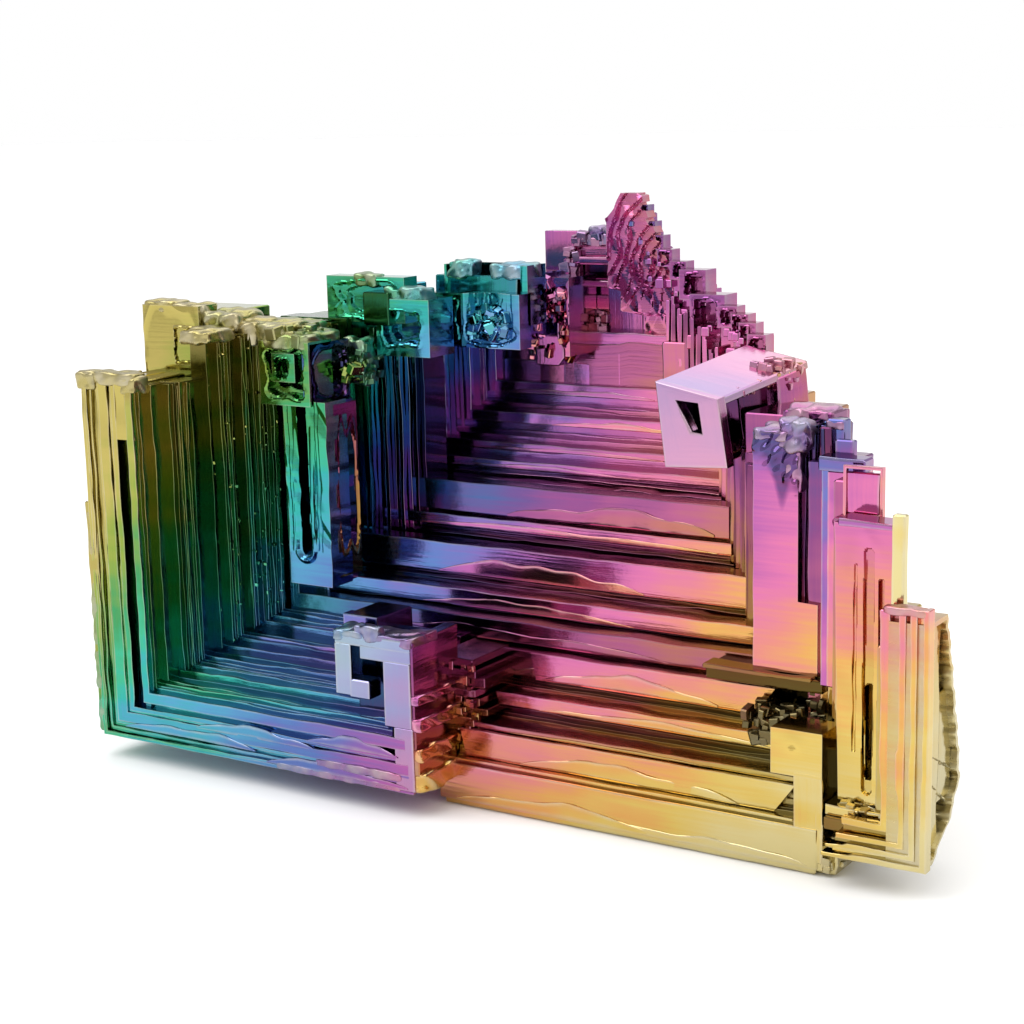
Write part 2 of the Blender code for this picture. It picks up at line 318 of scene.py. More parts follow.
@dataclass
class Growth:
    """Gathers terraces, blocks and crystallites into one mesh."""

    name: str
    seed: int
    points: list[Array] = field(default_factory=list)
    faces: list[list[int]] = field(default_factory=list)
    uvs: list[Array] = field(default_factory=list)
    edges: list[Array] = field(default_factory=list)
    shifts: list[Array] = field(default_factory=list)
    shades: list[Array] = field(default_factory=list)
    count: int = 0

    def __post_init__(self) -> None:
        """Start the piece's random numbers."""
        self.rng = np.random.default_rng(self.seed)

    def add(
        self,
        points: Array,
        faces: list[list[int]],
        uv: Array,
        edge: Array,
        shift: Array,
        shade: Array | float,
    ) -> None:
        """Add a closed shape.

        Args:
            points: its vertices.
            faces: its faces, as indices into the vertices.
            uv: one row for each face corner, in order.
            edge: pale film and painted highlight on each vertex.
            shift: change of film thickness on each vertex.
            shade: painted shade of the shape or of each vertex, from 0 to 1.
        """
        base = self.count
        self.points.append(points)
        self.faces.extend([[base + i for i in face] for face in faces])
        self.uvs.append(uv)
        self.edges.append(edge)
        self.shifts.append(shift)
        self.shades.append(np.zeros(len(points)) + shade)
        self.count += len(points)

    def loft(
        self,
        inner: Line,
        outer: Line,
        back: Point,
        bevel: float = 0.09,
        sway: float = 0.05,
        jump: float = 0.0,
        spacing: float = 0.9,
        closed: bool = False,
        shift: float = 0.0,
        shade: float = 0.0,
    ) -> None:
        """Carry a rounded rectangular section along a path between two polylines.

        A section point (t, n) at a station goes to inner + t (outer - inner) + n back, where
        t and n run from 0 to 1, plus unevenness that fades away from the inner front edge.

        Args:
            inner: the visible edge of the terrace, front side.
            outer: the same number of points on its far side.
            back: the vector from the front side to the back side.
            bevel: radius of the long edges.
            sway: size of the smooth unevenness.
            jump: size of the stepped unevenness.
            spacing: distance between stations.
            closed: whether the path is a ring.
            shift: change of film thickness.
            shade: painted shade, from 0 to 1.
        """
        near = np.array(inner, float)
        far = np.array(outer, float)
        depth = np.array(back, float)
        places, s = along(near, spacing, bevel, closed)
        index = places[:, 0].astype(int)
        part = places[:, 1][:, None]
        following = (index + 1) % len(near)
        inner_line = near[index] * (1 - part) + near[following] * part
        outer_line = far[index] * (1 - part) + far[following] * part
        across = outer_line - inner_line
        width = float(np.linalg.norm(far[1] - near[1] if len(near) > 2 else far[0] - near[0]))
        if len(near) > 2:
            width /= math.sqrt(2)
        deep = float(np.linalg.norm(depth))
        section, edge = rounded_section(width, deep, bevel)
        t = section[:, 0] / width
        n = section[:, 1] / deep
        rings = len(s)
        tt = np.tile(t, (rings, 1))
        nn = np.tile(n, (rings, 1))
        if not closed:
            for row in (0, -1):
                tt[row] = 0.5 + (t - 0.5) * (1 - 2 * bevel / width)
                nn[row] = 0.5 + (n - 0.5) * (1 - 2 * bevel / deep)
        lift = sway * waves(s, self.rng, HEIGHT_WAVE) + jump * breaks(s, self.rng, HEIGHT_BREAK)
        push = min(sway, MOST_PUSH) * waves(s, self.rng, FRONT_WAVE)
        push = push + min(jump, MOST_BREAK) * breaks(s, self.rng, FRONT_BREAK)
        if closed:
            lift = lift * 0
            push = push * 0
        unit = across / np.maximum(np.linalg.norm(across, axis=1)[:, None], 1e-6)
        grid = (
            inner_line[:, None, :]
            + across[:, None, :] * tt[:, :, None]
            + depth[None, None, :] * nn[:, :, None]
            + unit[:, None, :] * (lift[:, None] * (1 - tt))[:, :, None]
            + (depth / deep)[None, None, :] * (push[:, None] * (1 - nn))[:, :, None]
        )
        ahead = near[1] - near[0]
        inward = float(np.dot(np.cross(ahead, far[0] - near[0]), depth)) < 0
        v = np.concatenate([[0.0], np.cumsum(np.linalg.norm(np.diff(section, axis=0), axis=1))])
        v = np.append(v, v[-1] + np.linalg.norm(section[0] - section[-1]))
        film = shift + 0.012 * waves(s, self.rng, FILM_WAVE)
        films = np.repeat(film[:, None], len(t), 1)
        # Edges lose their pale film and painted highlight where painted shade lies.
        self.grid(grid, s, v, np.tile(edge, (rings, 1)) * (1 - shade), films, closed, inward, shade)

    def grid(
        self,
        grid: Array,
        u: Array,
        v: Array,
        edge: Array,
        shift: Array,
        closed: bool = False,
        flip: bool = False,
        shade: float = 0.0,
    ) -> None:
        """Add rings of points joined in order, closed round each ring.

        Args:
            grid: points as rings by places round the ring.
            u: distance along, one for each ring.
            v: distance round the ring, with one value more than the ring has points.
            edge: pale film and painted highlight at each point.
            shift: change of film thickness at each point.
            closed: whether the last ring joins the first.
            flip: whether the faces turn the other way round.
            shade: painted shade, from 0 to 1.
        """
        rings, size = grid.shape[:2]
        i, k = np.meshgrid(np.arange(rings if closed else rings - 1), np.arange(size), indexing="ij")
        i, k = i.ravel(), k.ravel()
        following = (i + 1) % rings
        beside = (k + 1) % size
        row, row_after = i * size, following * size
        quads = np.stack([row + k, row + beside, row_after + beside, row_after + k], 1)
        after = np.append(u, u[-1] + 1.0)[i + 1]
        corners = np.stack(
            [np.stack([u[i], v[k]], 1), np.stack([u[i], v[k + 1]], 1),
             np.stack([after, v[k + 1]], 1), np.stack([after, v[k]], 1)], 1)
        if flip:
            quads = quads[:, ::-1]
            corners = corners[:, ::-1]
        faces = quads.tolist()
        uv = [corners.reshape(-1, 2)]
        if not closed:
            first = list(range(size))
            last = [(rings - 1) * size + j for j in range(size)]
            caps = [first[::-1], last] if not flip else [first, last[::-1]]
            flat = grid.reshape(-1, 3)
            for cap in caps:
                faces.append(cap)
                spread = flat[cap] - flat[cap].mean(0)
                axes = np.argsort(-np.ptp(spread, axis=0))[:2]
                uv.append(spread[:, axes])
        self.add(grid.reshape(-1, 3), faces, np.vstack(uv), edge.ravel(), shift.ravel(), shade)

    def block(self, x: Span, y: Span, z: Span, run: Axis = Axis.UP, **options: float) -> None:
        """Add one square-edged block that fills the given spans.

        Args:
            x: span across.
            y: span inward.
            z: span upward.
            run: the direction in which its section is carried.
            options: the unevenness settings of loft.
        """
        (x0, x1), (y0, y1), (z0, z1) = x, y, z
        if run is Axis.UP:
            inner, outer = [(x1, y0, z0), (x1, y0, z1)], [(x0, y0, z0), (x0, y0, z1)]
            back = (0.0, y1 - y0, 0.0)
        elif run is Axis.ACROSS:
            inner, outer = [(x0, y0, z1), (x1, y0, z1)], [(x0, y0, z0), (x1, y0, z0)]
            back = (0.0, y1 - y0, 0.0)
        else:
            inner, outer = [(x1, y0, z1), (x1, y1, z1)], [(x1, y0, z0), (x1, y1, z0)]
            back = (x0 - x1, 0.0, 0.0)
        self.loft(inner, outer, back, **options)

    def tongue(self, x: Span, y: float, z: Span, shift: float = 0.0, shade: float = 0.0) -> None:
        """Lay a thin sheet on a face that looks forward.

        Its upper edge is an arch, the sine of half a turn to the power 0.7, with three waves added.

        Args:
            x: span across.
            y: depth of the sheet's front.
            z: heights of the face's long edges.
            shift: change of film thickness.
            shade: painted shade, from 0 to 1.
        """
        share = np.linspace(0.0, 1.0, 23)
        phase = self.rng.uniform(0, 2 * np.pi, 3)
        wave = 0.5 + 0.1 * np.sin(7.0 * share + phase[0]) + 0.06 * np.sin(15.0 * share + phase[1])
        rise = 0.05 + np.sin(np.pi * share) ** 0.7 * (wave + 0.03 * np.sin(31.0 * share + phase[2]))
        places = x[0] + (x[1] - x[0]) * share
        tall = z[1] - z[0]
        self.loft(
            [(place, y, z[0] + tall * part) for place, part in zip(places, rise)],
            [(place, y, z[0]) for place in places],
            (0.0, 0.6, 0.0), sway=0.03 * tall, bevel=0.03, spacing=0.35, shift=shift, shade=shade)

    def rim(self, x: Span, y: Span, z: Span, border: float, **options: float) -> None:
        """Add a rectangular ring round a pit in a face that looks forward.

        Args:
            x: outer span across.
            y: span inward, from the face to the back of the ring.
            z: outer span upward.
            border: width of the ring.
            options: the settings of loft.
        """
        (x0, x1), (y0, y1), (z0, z1) = x, y, z
        signs = ((1, 1), (-1, 1), (-1, -1), (1, -1))
        outer = [(x0, y0, z0), (x1, y0, z0), (x1, y0, z1), (x0, y0, z1)]
        inner = [(x + border * right, y, z + border * up) for (x, y, z), (right, up) in zip(outer, signs)]
        self.loft(inner, outer, (0.0, y1 - y0, 0.0), closed=True, **options)

    def grow(self, items: Iterable[Slab | Pit | Lump | Crust]) -> None:
        """Add each listed shape by the method for its kind.

        Args:
            items: the shapes.
        """
        for item in items:
            if isinstance(item, Slab):
                self.block(
                    item.x, item.y, item.z, item.run, sway=item.sway, jump=item.jump, bevel=item.bevel,
                    shift=item.shift, shade=item.shade)
            elif isinstance(item, Pit):
                self.pit(item)
            elif isinstance(item, Lump):
                self.lump(item)
            else:
                self.crust(item)

    def crust(self, item: Crust) -> None:
        """Scatter small chamfered cubes over a region, as a rough crust.

        Every cube is the same template scaled on its three axes and turned a little, worked out
        for all cubes at once.

        Args:
            item: the region, and the cubes' number, sizes, turn and film.
        """
        template, faces = chamfered_cube()
        rng = self.rng
        count = item.count
        middle = np.stack([rng.uniform(*span, count) for span in (item.x, item.y, item.z)], 1)
        sides = rng.uniform(*item.size, (count, 3)) * rng.uniform(0.7, 1.2, (count, 1))
        turn = rng.uniform(-item.tilt, item.tilt, (count, 3))
        cubes = template[None] * sides[:, None, :]
        cubes = cubes + np.cross(turn[:, None, :], cubes)
        points = (cubes + middle[:, None, :]).reshape(-1, 3)
        size_each = len(template)
        all_faces = [[c * size_each + i for i in face] for c in range(count) for face in faces]
        corners = np.array([i for face in all_faces for i in face])
        uv = points[corners][:, [0, 2]]
        film = np.repeat(item.shift + rng.uniform(-0.05, 0.05, count), size_each)
        # Each cube carries a quarter of an edge's pale film and painted highlight.
        self.add(points, all_faces, uv, np.full(len(points), 0.25), film, item.shade)

    def lump(self, item: Lump) -> None:
        """Add a half-melted cap.

        A direction d goes to half d / (|dx|^7 + |dy|^7 + |dz|^7)^(1/7), a box with round edges,
        and is pushed outward by plateaus with soft rims and by small ripples between them.

        Args:
            item: its spans, the size of its lumps and its film.
        """
        spans = np.array([item.x, item.y, item.z])
        middle, half = spans.mean(1), 0.5 * (spans[:, 1] - spans[:, 0])
        rings, around = 56, 90
        turn = np.linspace(0.05, np.pi - 0.05, rings)
        way = ways(turn, around)
        grid = middle + half * way / ((np.abs(way) ** 7).sum(2) ** (1 / 7))[:, :, None]
        x, y, z = grid[:, :, 0], grid[:, :, 1], grid[:, :, 2]
        phase = self.rng.uniform(0, 2 * np.pi, 5)
        hills = np.sin(1.6 * x + 0.9 * z + phase[0])
        plateau = np.tanh(3 * hills * np.sin(1.9 * y - 1.1 * x + 1.3 * z + phase[1]))
        ripple = np.sin(4.3 * x - 2.6 * z + phase[2]) * np.sin(3.7 * z + 3.1 * y + phase[3])
        push = item.rough * (0.7 * plateau + 0.35 * ripple)
        grid = grid + way * push[:, :, None]
        film = item.shift + 0.03 * np.sin(0.8 * x + 0.6 * y + phase[4])
        # Plateaus carry pale film and painted highlight.
        pale_and_sheen = np.clip(0.3 + 0.5 * plateau, 0, 1)
        size = half.sum()
        self.grid(grid, turn * size, np.linspace(0, 4 * size, around + 1), pale_and_sheen, film)

    def relief(
        self,
        outline: tuple[Callable[[Array], Array], Callable[[Array], Array]],
        z: Span,
        front: Callable[[Array, Array], Array],
        back: float,
        size: tuple[int, int],
        side: bool = False,
        shift: Tone = 0.0,
        shade: Tone = 0.0,
        depth_shade: float = 0.0,
    ) -> None:
        """Add a slab whose front is a relief and whose back is flat.

        The front point at (u, v) has height z0 + v (z1 - z0) and lies between the two outlines
        at that height; its depth is front(across, height). The back repeats the rim at one depth.

        Args:
            outline: left and right edge as functions of the height.
            z: lowest and highest height.
            front: depth of the front, as a function of the place across and the height.
            back: depth of the back.
            size: points across and upward.
            side: whether the slab faces to the right (x is the depth) instead of forward.
            shift: change of film thickness, or a function of the place across and the height.
            shade: painted shade from 0 to 1, or such a function; on the pink post's crust, that crust's own
                darker colour.
            depth_shade: how much more painted shade lies in the lowest parts.
        """
        u, v = np.meshgrid(np.linspace(0, 1, size[0]), np.linspace(0, 1, size[1]), indexing="ij")
        height = z[0] + v * (z[1] - z[0])
        start, end = outline[0](height), outline[1](height)
        across = start + u * (end - start)
        depth = front(across, height)
        order = [depth, across, height] if side else [across, depth, height]
        face = np.stack(order, 2).reshape(-1, 3)
        index = np.arange(size[0] * size[1]).reshape(size)
        rim = np.concatenate([index[:, 0], index[-1, 1:], index[-2::-1, -1], index[0, -2:0:-1]])
        rear = face[rim].copy()
        rear[:, 0 if side else 1] = back
        total = len(face)
        around = (index[:-1, :-1], index[1:, :-1], index[1:, 1:], index[:-1, 1:])
        quads = np.stack([part.ravel() for part in around], 1)
        local = np.arange(len(rim))
        after = np.roll(local, -1)
        walls = np.stack([rim, total + local, total + after, rim[after]], 1)
        faces = quads.tolist() + walls.tolist() + [(total + local)[::-1].tolist()]
        points = np.vstack([face, rear])
        corners = np.concatenate([np.array(part) for part in faces])
        uv = points[corners][:, [1 if side else 0, 2]]
        edge = np.zeros(len(points))
        # The rim gets the pale film and painted highlight of an edge.
        edge[rim] = 0.9
        sunk = face[:, 0].max() - points[:, 0] if side else points[:, 1] - face[:, 1].min()
        sunk[total:] = 0.0
        tones = []
        for tone in (shift, shade):
            values = tone(across, height).ravel() if callable(tone) else np.full(total, tone)
            tones.append(np.append(values, values[rim]))
        # Painted shade: the deeper a point lies, the darker its colour.
        low = tones[1] + depth_shade * sunk / max(float(sunk.max()), 0.3)
        self.add(points, faces, uv, edge, tones[0], np.clip(low, 0, 0.97))

    def pit(self, item: Pit) -> None:
        """Add a block whose face sinks in uneven rounded steps, as if half melted.

        With a and b running from -1 to 1 over the face, r is the rounded-square radius
        (a^6 + b^6)^(1/6) with waves added; each step lies inside one level of r.

        Args:
            item: the spans of its face, the depths of its face, pit and back, and its steps.
        """
        phase = self.rng.uniform(0, 2 * np.pi, 6)
        (x0, x1), (z0, z1) = item.across, item.z
        middle = 0.5 * (x0 + x1) + 0.06 * (x1 - x0) * self.rng.uniform(-1, 1)

        def front(place: Array, height: Array) -> Array:
            """Return the depth of the stepped pit.

            Args:
                place: places across the face.
                height: their heights.

            Returns:
                The depth at each place.
            """
            a = 2 * (place - middle) / (x1 - x0)
            b = 2 * (height - 0.5 * (z0 + z1)) / (z1 - z0)
            if item.open_top:
                b = np.minimum(b, 0.15 * b)
            r = (np.abs(a) ** 6 + np.abs(b) ** 6) ** (1 / 6)
            r = r + 0.05 * np.sin(4.1 * a + phase[0]) + 0.05 * np.sin(4.7 * b + phase[1])
            r = r + 0.025 * np.sin(9.0 * a + 5.0 * b + phase[2])
            r = r + 0.02 * np.sin(13.0 * b - 7.0 * a + phase[3])
            levels = item.reach * (1 - 0.27 * np.arange(item.steps))
            slope = np.clip((levels[:, None, None] - r) / 0.045, 0, 1)
            total = item.depth / item.steps * (slope * slope * (3 - 2 * slope)).sum(0)
            bead = np.exp(-(((r - item.reach - 0.07) / 0.035) ** 2))
            return item.face + total - 0.07 * np.sign(item.depth) * bead

        outline = (lambda h: np.full_like(h, x0), lambda h: np.full_like(h, x1))
        size = (max(20, int((x1 - x0) / 0.09)), max(20, int((z1 - z0) / 0.09)))
        self.relief(
            outline, item.z, front, item.back, size, item.side, item.shift, item.shade, item.depth_shade)

    def ball(self, middle: Point, radius: float, shift: float = 0.0) -> None:
        """Add a ball of rings from pole to pole.

        Args:
            middle: its middle.
            radius: its radius.
            shift: change of film thickness.
        """
        rings, around = 14, 20
        turn = np.linspace(0.06, np.pi - 0.06, rings)
        grid = ways(turn, around) * radius + np.array(middle)
        zero = np.zeros(grid.shape[:2])
        self.grid(grid, turn, np.linspace(0, 1, around + 1), zero, zero + shift)

    def finish(self, material: Material) -> bpy.types.Object:
        """Make the mesh object, in metres over the frame's origin.

        Args:
            material: its finish.

        Returns:
            The object, riding on the crystal's body in place of the plain solid.
        """
        points = (np.vstack(self.points) - ORIGIN) * MM
        mesh = bpy.data.meshes.new(self.name)
        mesh.from_pydata(points.tolist(), [], self.faces)
        layer = mesh.uv_layers.new(name="growth")
        layer.data.foreach_set("uv", np.vstack(self.uvs).astype(np.float32).ravel())
        for name, values in (("edge", self.edges), ("film", self.shifts), ("shade", self.shades)):
            attribute = mesh.attributes.new(name, "FLOAT", "POINT")
            attribute.data.foreach_set("value", np.concatenate(values).astype(np.float32))
        mesh.materials.append(material)
        mesh.shade_smooth()
        mesh.set_sharp_from_angle(angle=math.radians(SHARP_DEGREES))
        mesh.update()
        obj = bpy.data.objects.new(self.name, mesh)
        bpy.context.scene.collection.objects.link(obj)
        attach(obj, "root")
        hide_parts(NODE)
        triangles = sum(len(face) - 2 for face in self.faces)
        log.info("%s: %d triangles", self.name, triangles)
        return obj


def grown(
    name: str, seed: int, material: Material,
    *parts: Callable[[Growth], None] | tuple[Slab | Pit | Lump | Crust, ...],
) -> None:
    """Make one piece of the crystal and dress it.

    Args:
        name: its name.
        seed: the seed of its random numbers.
        material: its finish.
        parts: what it is made of, in order: lists of shapes, and methods that add more.
    """
    piece = Growth(name, seed)
    for part in parts:
        if callable(part):
            part(piece)
        else:
            piece.grow(part)
    piece.finish(material)


def chamfered_cube() -> tuple[Array, list[list[int]]]:
    """Make a unit cube with chamfered edges.

    Returns:
        Its points, and its faces as indices into them.
    """
    shape = bmesh.new()
    bmesh.ops.create_cube(shape, size=1.0)
    bmesh.ops.bevel(shape, geom=list(shape.edges), offset=0.09, segments=1, affect="EDGES")
    shape.verts.index_update()
    points = np.array([vertex.co[:] for vertex in shape.verts])
    faces = [[vertex.index for vertex in face.verts] for face in shape.faces]
    shape.free()
    return points, faces


@dataclass
class FrontLeftFrame:
    """The U-shaped frame that stands furthest forward, with its fine nested strips."""

    outer_x: float = -46.2
    inner_x: float = -40.8
    bottom: float = 1.8
    sill: float = 6.1
    top: float = 30.9
    slot_top: float = 27.0
    inner_top: float = 30.8
    right: float = -15.2
    floor: float = 3.0
    wall_back: float = 8.2
    step_up: float = 0.9
    front_top: float = 30.6
    wall_top: float = 34.2
    rib_widths: tuple[float, ...] = (0.14, 0.22, 0.3, 0.85, 1.3)
    rib_shares: tuple[float, ...] = (0.3, 0.25, 0.2, 0.15, 0.1)
    # The nested strips, from outside inwards: edges, and how far each lies back.
    strip_edges: tuple[float, ...] = (0.0, 0.35, 0.6, 0.95, 1.15, 1.55, 1.85, 2.9, 3.15, 3.65)
    strip_relief: tuple[float, ...] = (0.1, 0.0, 0.24, 0.02, 0.21, 0.04, 0.0, 0.16, 0.02)
    body: tuple[Slab, ...] = (
        Slab((-42.7, -40.85), (-3.95, 2.5), (26.4, 31.0), 0.03, sway=0.14),
        Slab((-46.0, -41.0), (-1.8, 4.4), (2.1, 30.8), 0.0),
        Slab((-46.6, -45.6), (-3.86, 2.0), (2.9, 21.2), 0.12, 0.15, jump=0.16, sway=0.1),
    )
    # Thin sheets on the bottom bar: span across and lower height.
    tongues: tuple[tuple[Span, float], ...] = (
        ((-43.6, -30.0), 2.9), ((-36.0, -24.0), 3.9), ((-29.0, -15.6), 2.2), ((-25.0, -16.4), 4.5))
    face: tuple[Slab, ...] = (
        Slab((-21.9, -15.1), (-4.0, -2.5), (12.6, 13.5), 0.0, run=Axis.ACROSS, sway=0.02),
        Slab((-21.9, -20.4), (-4.0, -2.5), (8.7, 12.7), 0.0, sway=0.02),
        Slab((-19.6, -15.1), (-4.0, -2.5), (11.7, 12.8), 0.0, run=Axis.ACROSS, sway=0.02),
        Slab((-20.6, -18.8), (-4.0, -2.5), (8.6, 10.0), 0.0, sway=0.02),
        Slab((-17.5, -15.1), (-4.0, -2.5), (6.8, 11.8), -0.02, sway=0.02),
        Slab((-16.7, -15.0), (-4.0, -2.5), (2.0, 6.9), -0.04, sway=0.02),
    )
    post: tuple[Slab | Lump, ...] = (
        Slab((-21.8, -15.2), (-1.4, 0.6), (7.0, 13.3), 0.0, 0.8),
        Slab((-21.9, -20.7), (-2.8, 0.6), (8.8, 13.3), 0.0, 0.4),
        Slab((-16.2, -15.15), (-2.8, 0.6), (2.0, 13.3), -0.1),
        Slab((-16.1, -15.0), (-3.85, 2.2), (9.3, 13.4), -0.15, 0.5, Axis.INWARD, 0.06, 0.08),
        Lump((-16.1, -14.5), (-3.9, 2.4), (8.6, 9.4), 0.1, -0.16),
        Slab((-16.1, -14.95), (-3.8, 2.4), (7.5, 8.75), -0.18, 0.6, Axis.INWARD, 0.06, 0.1),
        Lump((-16.1, -14.35), (-3.85, 2.6), (6.6, 7.7), 0.14, -0.19),
        Slab((-16.1, -14.85), (-3.8, 2.6), (5.2, 6.85), -0.2, 0.65, Axis.INWARD, 0.06, 0.1),
        Lump((-16.1, -14.3), (-3.9, 2.8), (4.3, 5.5), 0.14, -0.22),
        Slab((-16.1, -14.6), (-3.9, 2.8), (3.3, 4.6), -0.22, 0.35, Axis.INWARD, 0.06, 0.1),
        Lump((-16.1, -14.2), (-3.85, 2.9), (1.9, 3.5), 0.16, -0.24),
        Slab((-23.6, -20.4), (0.4, 4.0), (8.3, 13.8), -0.05, 0.5),
    )
    caps: tuple[Lump, ...] = (
        Lump((-46.5, -40.6), (-4.05, -2.1), (30.7, 31.75), 0.12, -0.02),
        Lump((-46.5, -44.6), (-4.15, -2.6), (30.2, 31.6), 0.14, 0.0),
        Lump((-41.9, -40.4), (-4.1, -2.3), (30.1, 31.4), 0.14, -0.03),
        Lump((-22.0, -14.95), (-4.0, -1.6), (13.2, 13.7), 0.1, -0.1),
        Lump((-20.0, -17.9), (-4.06, -3.1), (13.1, 14.2), 0.16, -0.1),
        Lump((-22.1, -20.7), (-4.06, -1.4), (12.9, 13.7), 0.12, -0.06),
        Lump((-16.6, -14.9), (-4.06, -0.4), (12.9, 13.7), 0.14, -0.12),
    )
    chips: tuple[Lump, ...] = (
        Lump((-46.7, -45.95), (-3.95, -2.2), (1.9, 5.4), 0.12, 0.05),
        Lump((-46.75, -46.0), (-3.9, -2.4), (5.6, 9.2), 0.1, 0.05),
        Lump((-46.6, -46.0), (-3.9, -2.4), (9.0, 14.8), 0.12, 0.08),
        Lump((-46.45, -46.0), (-3.95, -2.6), (15.6, 20.8), 0.1, 0.1),
        Lump((-39.9, -36.8), (0.6, 4.6), (33.6, 34.7), 0.16, 0.0),
        Lump((-28.0, -16.4), (-4.08, -3.4), (1.85, 2.35), 0.08, -0.04),
        Lump((-24.2, -16.2), (-4.14, -3.6), (2.7, 3.3), 0.07, -0.04),
    )
    join: tuple[Crust, ...] = (
        Crust((-15.1, -13.0), (1.2, 2.0), (1.8, 10.6), 90, (0.25, 0.8), 0.06, -0.16, 0.45),
    )

    def build(self, film: Material, pale: Material, crust: Material) -> None:
        """Make the frame's strips, its slot, the short post and the ledges behind it.

        Args:
            film: the finish of the terraces.
            pale: the finish of the short post's face.
            crust: the finish of the half-melted caps.
        """
        grown("front_left_frame", 11, film, self.nested_strips, self.body)
        grown("frame_ledges", 12, film, self.wall, self.ledges)
        grown("short_post", 13, film, self.post, self.ring_and_bead, self.rough_join, self.join)
        grown("short_post_face", 15, pale, self.face)
        grown("frame_crust", 14, crust, self.caps, self.chips)

    def ring_and_bead(self, piece: Growth) -> None:
        """Add the square ring behind the short post, with the round bead in it."""
        piece.rim((-23.6, -20.4), (-0.6, 0.6), (11.0, 13.9), 0.75, bevel=0.08, shift=-0.06)
        piece.ball((-22.2, 0.0, 12.45), 0.55, -0.1)

    def nested_strips(self, piece: Growth) -> None:
        """Add the strips that run down the post and turn along the bottom bar.

        Args:
            piece: the mesh under construction.
        """
        rng = piece.rng
        rise = (self.sill - self.bottom) / (self.inner_x - self.outer_x)
        heights = [self.bottom + rise * edge for edge in self.strip_edges]
        for k in range(len(heights) - 1):
            x0, x1 = self.outer_x + self.strip_edges[k], self.outer_x + self.strip_edges[k + 1]
            sunk = self.strip_relief[k]
            face = FRONT + sunk
            top = self.top + rng.uniform(-0.2, 0.1)
            end = self.right - 0.05 * k
            # Strips that lie deep are darkened with painted shade.
            self.bend(
                piece, (x1, x0), (heights[k + 1], heights[k]), top, end, face, 6.5 - sunk,
                bevel=0.05, sway=0.05, jump=0.07 if k else 0.12, spacing=0.6,
                shift=0.03 + rng.uniform(-0.04, 0.04), shade=0.3 if sunk > 0.2 else 0.0)
        slot, z2, end = self.outer_x + self.strip_edges[-1], heights[-1], self.right - 0.5
        for k in range(3):
            x1, face = self.inner_x - 0.35 - 0.28 * k, FRONT + 1.2 + 0.25 * k
            low = z2 + 0.6 - 0.2 * k
            # The slot's strips are darkened with painted shade.
            self.bend(
                piece, (x1, slot - 0.2), (low, z2 - 0.5), self.slot_top, end, face, 3.0,
                shift=-0.1, shade=0.6, bevel=0.04)
        self.bend(
            piece, (self.inner_x, self.inner_x - 0.72), (self.sill, z2 + 0.45), self.inner_top, end,
            FRONT, 5.5, bevel=0.06, sway=0.05, shift=-0.05)
        for x, low in self.tongues:
            piece.tongue(x, FRONT - 0.06, (low, low + 1.5), -0.02)

    def bend(
        self, piece: Growth, x: Span, z: Span, top: float, end: float, face: float, deep: float,
        **options: float,
    ) -> None:
        """Add a strip that runs down the post and turns to the right along the bottom bar.

        Args:
            piece: the mesh under construction.
            x: its inner and outer place on the post.
            z: its upper and lower height on the bar.
            top: height of its upper end.
            end: x of its right end.
            face: depth of its front.
            deep: size from front to back.
            options: the settings of loft.
        """
        inner, outer = (
            [(side, face, top), (side, face, height), (end, face, height)] for side, height in zip(x, z))
        piece.loft(inner, outer, (0.0, deep, 0.0), **options)

    def wall(self, piece: Growth) -> None:
        """Add the left wall's upright bands: broad flat ones between groups of fine ribs.

        Args:
            piece: the mesh under construction.
        """
        rng = piece.rng
        y = FRONT + 0.35
        while y < self.wall_back:
            x = float(left_wall(y)) + rng.uniform(-0.08, 0.08)
            top = (self.front_top if y < self.step_up else self.wall_top) + rng.uniform(-0.4, 0.2)
            outer = -41.6 if y < self.step_up else max(-44.0, x - 1.7) if y < 4.1 else -44.0
            # The bands are darkened with painted shade, by a random amount each.
            piece.loft(
                [(x, y, top), (x, y, float(frame_floor(y)))],
                [(outer, y, top), (outer, y, self.floor)],
                (0.0, 2.6, 0.0), bevel=0.03, sway=0.05, jump=0.06, spacing=0.9,
                shift=rng.uniform(-0.05, 0.05), shade=rng.uniform(0.4, 0.92))
            if y > self.step_up:
                piece.crust(
                    Crust((x - 0.1, x + 0.12), (y, y + 0.3), (8.0, 33.0), 5, (0.08, 0.28), 0.4, 0.05))
            y += float(rng.choice(self.rib_widths, p=self.rib_shares))

    def ledges(self, piece: Growth) -> None:
        """Add the thin terraces on the frame's floor.

        Args:
            piece: the mesh under construction.
        """
        rng = piece.rng
        depths = FRONT + 0.3 + np.cumsum(rng.uniform(0.2, 0.5, 45))
        for y in depths[depths < self.wall_back]:
            recess = float(rng.choice([0.0, 0.0, 0.15, 0.7]))
            x = float(left_wall(y)) - 0.6
            z = float(frame_floor(y)) - recess + rng.uniform(-0.1, 0.1)
            end = -17.4 + rng.uniform(-1.2, 0.3)
            # Recessed ledges are darkened with painted shade.
            piece.loft(
                [(x, y, z), (end, y, z)], [(x, y, self.floor), (end, y, self.floor)],
                (0.0, 2.2, 0.0), bevel=0.04, sway=0.05, jump=0.08, spacing=0.7,
                shift=rng.uniform(-0.04, 0.04), shade=0.5 if recess > 0.1 else rng.uniform(0.0, 0.25))

    def rough_join(self, piece: Growth) -> None:
        """Add the short broken ledges between the short post and the long ledges.

        Args:
            piece: the mesh under construction.
        """
        rng = piece.rng
        for k in range(13):
            z = 11.1 - 0.75 * k
            reach = -13.2 + 0.4 * (k % 3) + rng.uniform(-0.4, 0.4)
